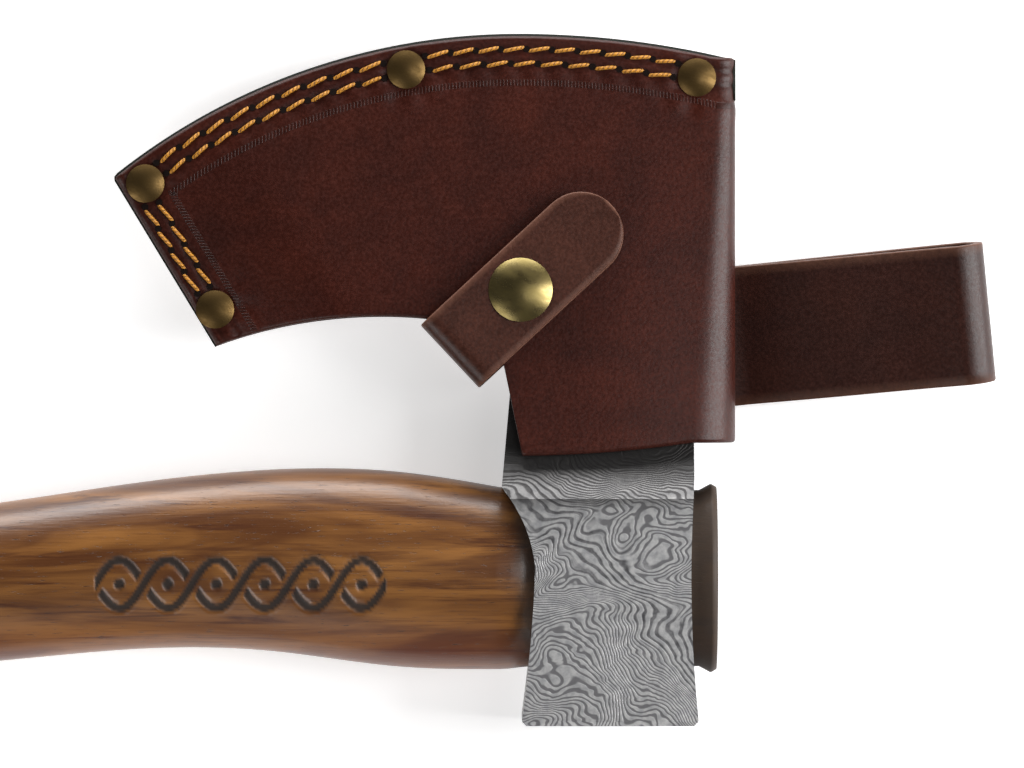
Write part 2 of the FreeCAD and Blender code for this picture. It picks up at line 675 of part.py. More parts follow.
def seam_line(top_inset, side_inset):
    """Stitch holes of one row: from the toe rivet round the long arc, and down the heel side."""
    top, crown = size(TOP_Y), size("crown_x")
    toe_radius = size("crown_radius_toe") - top_inset
    toe_centre = top - size("crown_radius_toe")
    long_radius = size("edge_radius + seam_margin") - top_inset
    lean = math.radians(size("heel_lean"))
    corner = [size(text) for text in heel_corner(f"seam_margin - {max(top_inset, side_inset)}")]
    toe_angle = math.asin((size("toe_rivet_x") - crown) / toe_radius)
    long_angle = math.atan2(corner[0] - crown, corner[1] - size(EDGE_Y))
    toe = arc_points(toe_radius, toe_centre, toe_angle, 0.0)
    long = arc_points(long_radius, size(EDGE_Y), 0.0, long_angle)
    foot_y = size("beard_y - seam_margin * cos(heel_lean)")
    margin = f"seam_margin - {side_inset}"
    length = (corner[1] - foot_y) / math.sin(lean) - 2 * size("thread_radius") - side_inset
    count = int(length / size("stitch_pitch"))
    side = []
    for index in range(count + 1):
        height = corner[1] - (side_inset + index * size("stitch_pitch")) * math.sin(lean)
        side.append((size(heel_x(str(height), margin)), height))
    return toe + long[1:], side


def clear_of_rivets(line):
    """The line's holes in runs that stop on each side of a rivet's cap."""
    spots = [Vector(size(x), size(y), 0) for x, y in seam_rivet_spots().values()]
    room = size("rivet_head + 2 * thread_radius")
    runs = [[]]
    for x, y in line:
        if min(Vector(x, y, 0).distanceToPoint(spot) for spot in spots) > room:
            runs[-1].append((x, y))
        elif runs[-1]:
            runs.append([])
    return [run for run in runs if len(run) > 1]


def rod(start, end, radius):
    """A round rod from start to end."""
    return Part.makeCylinder(radius, (end - start).Length, start, end - start)


def make_thread(label, top_inset, side_inset):
    """One row of saddle stitching: a leg through every hole and a run each side between holes.

    The runs follow the seam's own curve, so they are worked out point by point. The legs are
    drawn tight through the leather, which closes round them.
    """
    mid, thread = size(MID), size("thread_radius")
    seams = []
    rows = seam_line(size(top_inset), size(side_inset))
    for line in [run for row in rows for run in clear_of_rivets(row)]:
        lift = [outer_half(x, y) + thread for x, y in line]
        legs, runs = [], []
        for (x, y), rise in zip(line, lift):
            low, high = Vector(x, y, mid - rise), Vector(x, y, mid + rise)
            legs.append(rod(low, high, size("leg_radius")))
        for side in (1, -1):
            points = [Vector(x, y, mid + side * rise) for (x, y), rise in zip(line, lift)]
            runs += [rod(a, b, thread) for a, b in zip(points, points[1:])]
        seams.append(legs[0].multiFuse(legs[1:] + runs))
    thread_row = doc.addObject("Part::Feature", label)
    thread_row.Label = label
    thread_row.Shape = Part.makeCompound(seams)
    return thread_row


def seam_rivet_spots():
    """Places of the seam's rivets: corner, middle, toe and foot."""
    radius = "(edge_radius + seam_margin - rivet_inset)"
    middle = (f"crown_x - {radius} * sin(middle_rivet_angle)",
              f"{EDGE_Y} + {radius} * cos(middle_rivet_angle)")
    toe_radius = "(crown_radius_toe - rivet_inset)"
    toe = ("toe_rivet_x",
           f"{TOP_Y} - crown_radius_toe + sqrt({toe_radius} ^ 2 - (toe_rivet_x - crown_x) ^ 2)")
    foot_y = ("(beard_y - (seam_margin - side_rivet_inset) * cos(heel_lean)"
              " + side_rivet_rise * sin(heel_lean))")
    foot = (heel_x(foot_y, "seam_margin - side_rivet_inset"), foot_y)
    return {"corner": heel_corner("seam_margin - rivet_inset"), "middle": middle, "toe": toe,
            "foot": foot}


def strap_spot(along, across="0"):
    """A place on a panel, measured from the snap along and across the strap."""
    x = f"(snap_x + ({along}) * cos(strap_lean) - ({across}) * sin(strap_lean))"
    y = f"(snap_y + ({along}) * sin(strap_lean) + ({across}) * cos(strap_lean))"
    return x, on_panel(y)


def loop_spot(along, across):
    """A place on the back panel, measured from where the belt loop leaves the sheath."""
    x = f"({FOLD_X} + ({along}) * cos(loop_lean) - ({across}) * sin(loop_lean))"
    y = f"(loop_y + ({along}) * sin(loop_lean) + ({across}) * cos(loop_lean))"
    return x, on_panel(y)


def make_sheath():
    """Folded leather, its welt, two rows of thread, rivets, strap, snap and belt loop."""
    nodes = {}
    block, room = sheath_block(), blade_room()
    full, hollow = pillow("sheath_full", "0"), pillow("sheath_hollow", "leather_thick")
    slab = doc.addObject("Part::Box", "seam_slab")
    far = heel_x(TOP_Y, f"seam_margin + 2 * {OVERRUN}")
    bind(slab, "Length", f"{FOLD_X} - {far}")
    bind(slab, "Width", f"{TOP_Y} - mouth_y + 2 * {OVERRUN}")
    bind(slab, "Height", "welt_thick")
    bind(slab, "Placement.Base.x", far)
    bind(slab, "Placement.Base.y", f"mouth_y - {OVERRUN}")
    bind(slab, "Placement.Base.z", f"{MID} - welt_thick / 2")
    deep = common("hollow_deep", hollow, room)
    gap = common("hollow_gap", hollow, slab)
    panels = cut("panels", common("sheath_form", full, block), fuse("hollow_all", [deep, gap]))
    welt = cut("welt_band", common("welt_form", gap, block), room)

    for label, suffix in (("seam_thread_outer", "row_outer"), ("seam_thread_inner", "row_inner")):
        nodes[label] = make_thread(label, suffix, f"side_{suffix}")

    caps, posts, holes, seats = [], [], [], []
    for name, (x, y) in seam_rivet_spots().items():
        levels = (f"{MID} + {RIM_HALF}", f"{MID} - {RIM_HALF}")
        faces = (f"{MID} + {MOUTH_HALF}", f"{MID} - {MOUTH_HALF}")
        seats.append(drill(f"seat_front_{name}", "", (x, y), "rivet_seat", levels[0], faces[0]))
        seats.append(drill(f"seat_back_{name}", "", (x, y), "rivet_seat", faces[1], levels[1]))
        parts = rivet("seam_" + name, "", (x, y), "rivet_head", *levels, "rivet_dome", "rivet_dome")
        for bucket, part in zip((caps, posts, holes), parts):
            bucket.append(part)
    nodes["seam_rivet_caps"] = group("seam_rivet_caps", caps)
    nodes["seam_rivet_posts"] = group("seam_rivet_posts", posts)
    nodes["seam_welt"] = cut("seam_welt", welt, group("welt_holes", holes))

    strap_nodes, strap_holes = make_strap()
    snap_nodes, snap_holes = make_snap()
    loop_nodes, loop_holes = make_loop()
    panel_holes = group("panel_holes", holes + seats + strap_holes + snap_holes + loop_holes)
    nodes["sheath_shell"] = cut("sheath_shell", panels, panel_holes)
    nodes.update(strap_nodes)
    nodes.update(snap_nodes)
    nodes.update(loop_nodes)
    return nodes


def strap_outline(sketch, start, end, rounded="strap_width / 2"):
    """A strap along the sketch's X axis with a round end."""
    half = "strap_width / 2"
    add_outline(sketch, [
        (start, f"-{half}"),
        (end, f"-{half}", rounded, "right"),
        (f"{end} + {half}", "0", rounded, "right"),
        (end, half),
        (start, half),
    ])


def strap_sketch(body, name, level):
    """A sketch on a panel, turned along the strap, with its origin under the snap."""
    x, y = strap_spot("0")
    sketch = new_sketch(body, name, "XY_Plane", (x, y, level))
    sketch.AttachmentOffset.Rotation = FreeCAD.Rotation(Vector(0, 0, 1), 1)
    bind(sketch, "AttachmentOffset.Rotation.Angle", "strap_lean")
    return sketch


def make_strap():
    """The retaining strap: a root riveted behind the sheath and a flap that turns at its fold."""
    flap = body_named("flap_blank")
    sketch = strap_sketch(flap, "flap_outline", "strap_gap")
    strap_outline(sketch, "fold_gap - strap_reach", "strap_tip")
    pad(flap, sketch, "strap_thick")
    lean_on(flap, "front")
    hole = drill("flap_hole", "front", strap_spot("0"), "rivet_shank", f"strap_gap - {PAST}",
                 f"strap_gap + strap_thick + {PAST}")

    root = body_named("root_blank")
    sketch = strap_sketch(root, "root_outline", "-strap_thick")
    strap_outline(sketch, "-strap_reach - strap_thick",
                  "strap_root_length - strap_reach - strap_width / 2")
    pad(root, sketch, "strap_thick")
    lean_on(root, "back")
    wall = doc.addObject("Part::Box", "strap_wall")
    fold_half = f"({MOUTH_HALF} - (snap_y - strap_reach * sin(strap_lean) - mouth_y) * {SLOPE})"
    wall.Placement.Rotation = FreeCAD.Rotation(Vector(0, 0, 1), 1)
    corner = ("-strap_reach - strap_thick", "-strap_width / 2")
    x = f"(snap_x + ({corner[0]}) * cos(strap_lean) - ({corner[1]}) * sin(strap_lean))"
    y = f"(snap_y + ({corner[0]}) * sin(strap_lean) + ({corner[1]}) * cos(strap_lean))"
    bind(wall, "Placement.Base.x", x)
    bind(wall, "Placement.Base.y", y)
    bind(wall, "Placement.Base.z", f"{MID} - {fold_half} - strap_thick / 2")
    bind(wall, "Placement.Rotation.Angle", "strap_lean")
    bind(wall, "Length", "strap_thick")
    bind(wall, "Width", "strap_width")
    bind(wall, "Height", f"2 * {fold_half} + strap_gap + strap_thick * 1.5")
    caps, posts, holes = [], [], []
    for number in range(2):
        along = f"strap_rivet_first + {number} * strap_rivet_step - strap_reach"
        parts = rivet(f"strap_rivet_{number}", "back", strap_spot(along), "strap_rivet_head",
                      "strap_thick", "-leather_thick", "rivet_dome - rivet_rim", "flat_head", -1)
        for bucket, part in zip((caps, posts, holes), parts):
            bucket.append(part)
    tool = group("strap_root_holes", holes)
    return {
        "strap_flap": cut("strap_flap", flap, hole),
        "strap_root": cut("strap_root", fuse("root_whole", [root, wall]), tool),
        "strap_rivet_caps": group("strap_rivet_caps", caps),
        "strap_rivet_posts": group("strap_rivet_posts", posts),
    }, holes


def make_snap():
    """The snap: cap, socket and spring on the flap, stud and eyelet on the front panel."""
    spot = strap_spot("0")
    top = "(strap_gap + strap_thick)"
    crown = "snap_dome - rivet_rim"
    cap = turned("snap_cap", "front", spot, [
        ("0", f"{top} + snap_dome", f"(snap_radius ^ 2 + ({crown}) ^ 2) / (2 * ({crown}))", "left"),
        ("snap_radius", f"{top} + rivet_rim"),
        ("snap_radius", top),
        ("rivet_shank", top),
        ("rivet_shank", "strap_gap"),
        ("0", "strap_gap"),
    ])
    low = "(strap_gap - socket_height)"
    groove = "(spring_radius + spring_wire)"
    socket = turned("snap_socket", "front", spot, [
        (groove, low),
        ("socket_radius", low),
        ("socket_radius", "strap_gap"),
        (groove, "strap_gap"),
    ])
    spring = doc.addObject("Part::Torus", "spring_ring")
    bind(spring, "Radius1", "spring_radius")
    bind(spring, "Radius2", "spring_wire")
    level = "(strap_gap - socket_height / 2)"
    tilt = f"atan({SLOPE})"
    bind(spring, "Placement.Base.x", spot[0])
    bind(spring, "Placement.Base.y", f"mouth_y + {spot[1]} * cos({tilt}) + {level} * sin({tilt})")
    height = f"{MID} + {MOUTH_HALF} - {spot[1]} * sin({tilt}) + {level} * cos({tilt})"
    spring.Placement.Rotation = FreeCAD.Rotation(Vector(1, 0, 0), 1)
    bind(spring, "Placement.Base.z", height)
    bind(spring, "Placement.Rotation.Angle", f"-{tilt}")
    stud = turned("snap_stud", "front", spot, [
        ("0", "0"),
        ("stud_base", "0"),
        ("stud_base", "flange_thick"),
        ("stud_radius", "flange_thick"),
        ("stud_radius", "stud_height"),
        ("0", "stud_height"),
    ])
    eyelet = turned("snap_eyelet", "front", spot, [
        ("0", "0"),
        ("0", "-leather_thick - flange_thick"),
        ("eyelet_radius", "-leather_thick - flange_thick"),
        ("eyelet_radius", "-leather_thick"),
        ("rivet_shank", "-leather_thick"),
        ("rivet_shank", "0"),
    ])
    hole = drill("stud_hole", "front", spot, "rivet_shank", "-leather_thick - 1", "1")
    pieces = {"snap_cap": cap, "snap_socket": socket, "snap_spring": spring, "snap_stud": stud,
              "snap_eyelet": eyelet}
    return pieces, [hole]


def make_loop():
    """The belt loop: one strip folded in two, riveted behind the sheath, open at its fold."""
    body = body_named("loop_blank")
    stack = "2 * loop_thick"
    outer, inner = "((2 * loop_thick + loop_rise) / 2)", "(loop_rise / 2)"
    turn = f"(loop_reach - {outer})"
    middle = "((loop_rise - 2 * loop_thick) / 2)"
    sketch = new_sketch(body, "loop_profile", "XZ_Plane", (FOLD_X, "0", f"-{on_panel('loop_y')}"))
    sketch.AttachmentOffset.Rotation = FreeCAD.Rotation(Vector(0, 1, 0), 1)
    bind(sketch, "AttachmentOffset.Rotation.Angle", "loop_lean")
    add_outline(sketch, [
        ("-loop_root", "0"),
        ("-loop_root", f"-({stack})"),
        (turn, f"-({stack})", outer, "right"),
        ("loop_reach", middle, outer, "right"),
        (turn, "loop_rise"),
        ("loop_part", "0"),
    ], "out")
    add_outline(sketch, [
        ("loop_part", "-loop_thick"),
        (turn, "-loop_thick", inner, "right"),
        (f"{turn} + {inner}", middle, inner, "right"),
        (turn, "loop_rise - loop_thick"),
    ], "in")
    pad(body, sketch, "loop_width", midplane=True)
    lean_on(body, "back")
    caps, posts, holes = [], [], []
    for number, across in enumerate(("loop_rivet_spread", "-loop_rivet_spread")):
        spot = loop_spot("-loop_rivet_back", across)
        parts = rivet(f"loop_rivet_{number}", "back", spot, "strap_rivet_head", stack,
                      "-leather_thick", "flat_head", "flat_head", -1)
        for bucket, part in zip((caps, posts, holes), parts):
            bucket.append(part)
    return {
        "belt_loop": cut("belt_loop", body, group("loop_holes", holes)),
        "belt_loop_rivet_caps": group("belt_loop_rivet_caps", caps),
        "belt_loop_rivet_posts": group("belt_loop_rivet_posts", posts),
    }, holes


def check_document():
    """Stop if any object failed to compute."""
    for item in doc.Objects:
        if "Invalid" in item.State or "Error" in item.State:
            raise RuntimeError(f"{item.Label} did not compute: {item.State}")


def main():
    """Build every piece, check it and write one file for each."""
    fill_sheet()
    nodes = {"axe_head": make_head()}
    nodes.update(make_haft())
    nodes.update(make_sheath())
    doc.recompute()
    check_document()
    os.makedirs("parts", exist_ok=True)
    for label, piece in nodes.items():
        shape = piece.Shape
        if shape.isNull() or not shape.isValid() or not shape.Solids:
            raise RuntimeError(f"{label} has no valid solid")
        shape.exportStep(f"parts/{label}.step")
        box = shape.BoundBox
        print(f"{label}: {len(shape.Solids)} solids, {shape.Volume:.0f} mm3, "
              f"z {box.ZMin:.2f} to {box.ZMax:.2f}")


main()
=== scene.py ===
"""A bearded hand axe in its riveted leather sheath, on a pale studio floor."""

import logging
import math
from dataclasses import dataclass
from enum import Enum

import bpy
import numpy as np
from mathutils import Matrix, Vector


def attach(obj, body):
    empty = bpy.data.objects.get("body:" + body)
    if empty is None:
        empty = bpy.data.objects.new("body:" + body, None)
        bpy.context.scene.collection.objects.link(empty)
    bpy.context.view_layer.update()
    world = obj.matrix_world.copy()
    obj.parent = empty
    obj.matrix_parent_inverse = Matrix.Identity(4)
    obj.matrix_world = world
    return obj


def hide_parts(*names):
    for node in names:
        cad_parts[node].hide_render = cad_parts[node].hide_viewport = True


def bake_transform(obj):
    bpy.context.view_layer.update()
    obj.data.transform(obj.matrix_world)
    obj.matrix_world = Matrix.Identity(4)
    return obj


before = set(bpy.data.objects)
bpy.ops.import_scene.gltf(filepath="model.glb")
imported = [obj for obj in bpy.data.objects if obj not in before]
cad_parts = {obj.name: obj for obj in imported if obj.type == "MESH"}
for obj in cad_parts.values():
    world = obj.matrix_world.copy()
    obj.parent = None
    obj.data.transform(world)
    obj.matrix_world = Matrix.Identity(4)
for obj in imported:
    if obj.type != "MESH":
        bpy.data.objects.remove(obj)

logging.basicConfig(level=logging.INFO, format="%(message)s")
log = logging.getLogger("axe")

MM = 0.001
MID = 16.0  # height of the object's middle plane, in millimetres
SEED = 7
SPREAD = (0.95, 1.05)  # least and most that a repeated shape is stretched lengthwise
FLAT_POINTS = 15  # points across a strip's face
CORNER_POINTS = 5  # points round each of its edges
RAW_AT_EDGE = 0.6  # how raw a strip's face is where its edge begins
CLEAR = 0.02  # gap in millimetres between layers of leather that lie on each other
BLUNT = 0.3  # least square of half the strap's width, left at its rounded tips

Colour = tuple[float, float, float, float]
Socket = bpy.types.NodeSocket
Value = Socket | float | int | tuple


class Side(Enum):
    """A face of the sheath."""

    FRONT = 1.0
    BACK = -1.0


# ---- small maths --------------------------------------------------------------------------


def srgb(red: int, green: int, blue: int) -> Colour:
    """A colour written as display values.

    Args:
        red, green, blue: From 0 to 255.

    Returns:
        The linear colour with an alpha of one.
    """
    def linear(value: float) -> float:
        share = value / 255
        return share / 12.92 if share <= 0.04045 else ((share + 0.055) / 1.055) ** 2.4

    return (linear(red), linear(green), linear(blue), 1.0)


def smooth(low: float, high: float, value: np.ndarray) -> np.ndarray:
    """Shares of a smooth step that is zero at the low end and one at the high end."""
    share = np.clip((value - low) / (high - low), 0.0, 1.0)
    return share * share * (3 - 2 * share)


def spline(knots: np.ndarray, values: np.ndarray, at: np.ndarray) -> np.ndarray:
    """A natural cubic through values.

    Args:
        knots: Rising places of the values.
        values: One value for each knot.
        at: Where to read the curve.

    Returns:
        The curve's values.
    """
    gaps, count = np.diff(knots), len(knots)
    system, right = np.eye(count), np.zeros(count)
    for i in range(1, count - 1):
        system[i, i - 1:i + 2] = gaps[i - 1], 2 * (gaps[i - 1] + gaps[i]), gaps[i]
        slopes = (values[i + 1] - values[i]) / gaps[i], (values[i] - values[i - 1]) / gaps[i - 1]
        right[i] = 6 * (slopes[0] - slopes[1])
    bend = np.linalg.solve(system, right)
    i = np.clip(np.searchsorted(knots, at) - 1, 0, count - 2)
    gap, before, after = gaps[i], at - knots[i], knots[i + 1] - at
    cubic = (bend[i] * after ** 3 + bend[i + 1] * before ** 3) / (6 * gap)
    first = (values[i] / gap - bend[i] * gap / 6) * after
    last = (values[i + 1] / gap - bend[i + 1] * gap / 6) * before
    return cubic + first + last


def arc(start: tuple, end: tuple, radius: float, bulge: str, count: int) -> np.ndarray:
    """Points along a short arc.

    Args:
        start, end: Its ends in millimetres.
        radius: Its radius.
        bulge: "left" or "right" of the way from start to end.
        count: How many points.

    Returns:
        The points, one per row.
    """
    a, b = np.array(start, float), np.array(end, float)
    along = b - a
    length = np.linalg.norm(along)
    left = np.array([-along[1], along[0]]) / length
    sign = -1 if bulge == "left" else 1
    centre = (a + b) / 2 + sign * left * math.sqrt(radius ** 2 - length ** 2 / 4)
    first, last = a - centre, b - centre
    sweep = math.atan2(first[0] * last[1] - first[1] * last[0], first @ last)
    begin = math.atan2(first[1], first[0])
    turns = begin + sweep * np.linspace(0, 1, count)
    return centre + radius * np.column_stack([np.cos(turns), np.sin(turns)])


def spaced(path: np.ndarray, step: float) -> np.ndarray:
    """A path's points at an even spacing.

    Args:
        path: Points, one per row.
        step: About how far apart.

    Returns:
        The new points.
    """
    run = np.concatenate([[0.0], np.cumsum(np.linalg.norm(np.diff(path, axis=0), axis=1))])
    at = np.linspace(0, run[-1], max(2, round(run[-1] / step) + 1))
    return np.column_stack([np.interp(at, run, path[:, i]) for i in range(path.shape[1])])


# ---- meshes -------------------------------------------------------------------------------


def new_piece(
    name: str, points: np.ndarray, faces: list, attributes: dict | None = None
) -> bpy.types.Object:
    """A smooth mesh object at the origin.

    Args:
        name: The piece's name.
        points: Its points in millimetres.
        faces: Tuples of point numbers, or rows of them.
        attributes: Float values for each point, by name.

    Returns:
        The object.
    """
    mesh = bpy.data.meshes.new(name)
    mesh.from_pydata((np.asarray(points) * MM).tolist(), [], [tuple(map(int, f)) for f in faces])
    mesh.polygons.foreach_set("use_smooth", [True] * len(mesh.polygons))
    for key, values in (attributes or {}).items():
        layer = mesh.attributes.new(key, "FLOAT", "POINT")
        layer.data.foreach_set("value", np.asarray(values, np.float32).ravel())
    mesh.update()
    made = bpy.data.objects.new(name, mesh)
    bpy.context.scene.collection.objects.link(made)
    log.info("%s: %d faces", name, len(mesh.polygons))
    return made


def grid_faces(rows: int, columns: int, first: int = 0, flip: bool = False, wrap: bool = False) -> list:
    """Quads of a grid of points that is numbered row by row.

    Args:
        rows, columns: The grid's size.
        first: Number of its first point.
        flip: Turns the faces over.
        wrap: Joins the last column to the first.

    Returns:
        Tuples of four point numbers.
    """
    faces = []
    for row in range(rows - 1):
        for column in range(columns if wrap else columns - 1):
            after = (column + 1) % columns
            a = first + row * columns
            quad = (a + column, a + after, a + columns + after, a + columns + column)
            faces.append(quad[::-1] if flip else quad)
    return faces


def closed_tube(name: str, rings: np.ndarray, attributes: dict | None = None) -> bpy.types.Object:
    """A closed skin over rings of points.

    Args:
        name: The piece's name.
        rings: An array of ring, point and coordinate.
        attributes: Float values for each ring and point, by name.

    Returns:
        The object, with its normals outward.
    """
    count, around = rings.shape[:2]
    faces = grid_faces(count, around, wrap=True)
    faces.append(tuple(range(around))[::-1])
    faces.append(tuple((count - 1) * around + i for i in range(around)))
    points = rings.reshape(-1, 3)
    middle = rings[count // 2]
    side = np.cross(middle[1] - middle[0], rings[count // 2 + 1, 0] - middle[0])
    if side @ (middle[0] - middle.mean(axis=0)) < 0:
        faces = [face[::-1] for face in faces]
    return new_piece(name, points, faces, attributes)


def strip(
    name: str, path: np.ndarray, sides: np.ndarray, halves: np.ndarray, thick: float, edge: float
) -> bpy.types.Object:
    """A leather strip that follows a path, with softened edges.

    Args:
        name: The piece's name.
        path: Its centreline in millimetres.
        sides: Unit vectors across the strip.
        halves: Half its width at each point.
        thick: Its thickness.
        edge: Radius of its edges.

    Returns:
        The object, with its cut edges marked by the attribute "raw".
    """
    along = np.gradient(path, axis=0)
    along /= np.linalg.norm(along, axis=1)[:, None]
    ups = np.cross(along, sides)
    ups /= np.linalg.norm(ups, axis=1)[:, None]
    flat = np.linspace(-1, 1, FLAT_POINTS)
    corner = np.linspace(0, math.pi / 2, CORNER_POINTS)[1:-1]
    across, inset, level, raw = [], [], [], []
    for sign in (1, -1):
        for share in flat * sign:
            across.append(share)
            inset.append(-edge * share)
            level.append(sign * thick / 2)
            raw.append(RAW_AT_EDGE if abs(share) == 1 else 0.0)
        for face, turns in ((sign, corner[::sign]), (-sign, corner[::-sign])):
            for turn in turns:
                across.append(float(sign))
                inset.append(-sign * edge * (1 - math.sin(turn)))
                level.append(face * (thick / 2 - edge * (1 - math.cos(turn))))
                raw.append(1.0)
    across, inset, level = map(np.array, (across, inset, level))
    wide = halves[:, None] * across + inset * np.minimum(1, halves / (2 * edge))[:, None]
    rings = path[:, None] + wide[..., None] * sides[:, None] + level[None, :, None] * ups[:, None]
    marks = np.tile(np.array(raw), (len(path), 1))
    marks[[0, 1, -2, -1]] = 1.0
    return closed_tube(name, rings, {"raw": marks})


# ---- node trees ---------------------------------------------------------------------------


class Graph:
    """A node tree written as nested calls."""

    def __init__(self, tree: bpy.types.NodeTree) -> None:
        """Start in an emptied tree.

        Args:
            tree: A material's or a modifier's tree.
        """
        self.tree = tree
        tree.nodes.clear()

    def feed(self, socket: Socket, value: Value) -> None:
        """Link a socket or set its constant.

        Args:
            socket: The input.
            value: Another node's output, or a constant.
        """
        if isinstance(value, bpy.types.NodeSocket):
            self.tree.links.new(value, socket)
        else:
            socket.default_value = value

    def add(self, kind: str, inputs: dict | None = None, **settings: object) -> bpy.types.Node:
        """Add a node.

        Args:
            kind: Its type's name.
            inputs: Values by input name or number.
            **settings: Its properties.

        Returns:
            The node.
        """
        node = self.tree.nodes.new(kind)
        for key, value in settings.items():
            setattr(node, key, value)
        for key, value in (inputs or {}).items():
            self.feed(node.inputs[key], value)
        return node

    def sum(self, op: str, *values: Value) -> Socket:
        """Result of a named arithmetic step on one, two or three numbers."""
        return self.add("ShaderNodeMath", dict(enumerate(values)), operation=op).outputs[0]


class Shader(Graph):
    """A material's tree with the steps that the finishes share."""

    def __init__(self, name: str) -> None:
        """Start a material.

        Args:
            name: Its name.
        """
        self.material = bpy.data.materials.new(name)
        self.material.use_nodes = True
        super().__init__(self.material.node_tree)
        self.place = self.add("ShaderNodeTexCoord").outputs["Object"]

    def scaled(self, x: float, y: float, z: float, turn: float = 0.0) -> Socket:
        """The place on the piece, scaled so that one unit is a length of the pattern.

        Args:
            x, y, z: The pattern's lengths in millimetres.
            turn: Turn about the Z axis in degrees.

        Returns:
            The vector.
        """
        scale = (1 / (x * MM), 1 / (y * MM), 1 / (z * MM))
        spin = (0.0, 0.0, math.radians(turn))
        turned = self.add("ShaderNodeMapping", {"Vector": self.place, "Rotation": spin})
        inputs = {0: turned.outputs[0], 1: scale}
        return self.add("ShaderNodeVectorMath", inputs, operation="MULTIPLY").outputs[0]

    def axis(self, name: str) -> Socket:
        """The coordinate X, Y or Z of the place on the piece, in metres."""
        return self.add("ShaderNodeSeparateXYZ", {0: self.place}).outputs[name]

    def noise(self, at: Socket, detail: float = 3.0, rough: float = 0.5, bend: float = 0.0) -> Socket:
        """Soft noise near one half, with its octaves, their strength and a distortion."""
        inputs = {"Vector": at, "Scale": 1.0, "Detail": detail, "Roughness": rough, "Distortion": bend}
        return self.add("ShaderNodeTexNoise", inputs).outputs[0]

    def cells(self, at: Socket) -> Socket:
        """Distances to the centres of a pattern of cells."""
        return self.add("ShaderNodeTexVoronoi", {"Vector": at, "Scale": 1.0}, feature="F1").outputs[0]

    def range(
        self, value: Value, low: float, high: float, to_low: float = 0.0, to_high: float = 1.0
    ) -> Socket:
        """A smooth step from one result to another between two values."""
        inputs = {0: value, 1: low, 2: high, 3: to_low, 4: to_high}
        return self.add("ShaderNodeMapRange", inputs, interpolation_type="SMOOTHSTEP").outputs[0]

    def mark(self, name: str) -> Socket:
        """Value of a float attribute of the piece."""
        return self.add("ShaderNodeAttribute", attribute_name=name).outputs["Fac"]

    def mix(self, share: Value, low: Value, high: Value, blend: str = "MIX") -> Socket:
        """A mix of two colours, by the share of the second."""
        inputs = {0: share, 6: low, 7: high}
        return self.add("ShaderNodeMix", inputs, data_type="RGBA", blend_type=blend).outputs[2]

    def tint(self, colour: Value, level: Socket) -> Socket:
        """A colour made darker or brighter by a level."""
        grey = self.add("ShaderNodeCombineColor", {0: level, 1: level, 2: level}).outputs[0]
        return self.mix(1.0, colour, grey, "MULTIPLY")

    def bump(self, height: Socket, distance: float) -> Socket:
        """Normal of a relief whose depth is given in millimetres."""
        inputs = {"Height": height, "Strength": 1.0, "Distance": distance * MM}
        return self.add("ShaderNodeBump", inputs).outputs[0]

    def finish(self, **inputs: Value) -> bpy.types.Material:
        """End the tree in a surface.

        Args:
            **inputs: The surface's values, with underscores for spaces.

        Returns:
            The material.
        """
        surface = self.add("ShaderNodeBsdfPrincipled")
        for key, value in inputs.items():
            self.feed(surface.inputs[key.replace("_", " ")], value)
        self.add("ShaderNodeOutputMaterial", {"Surface": surface.outputs[0]})
        return self.material


# ---- finishes -----------------------------------------------------------------------------


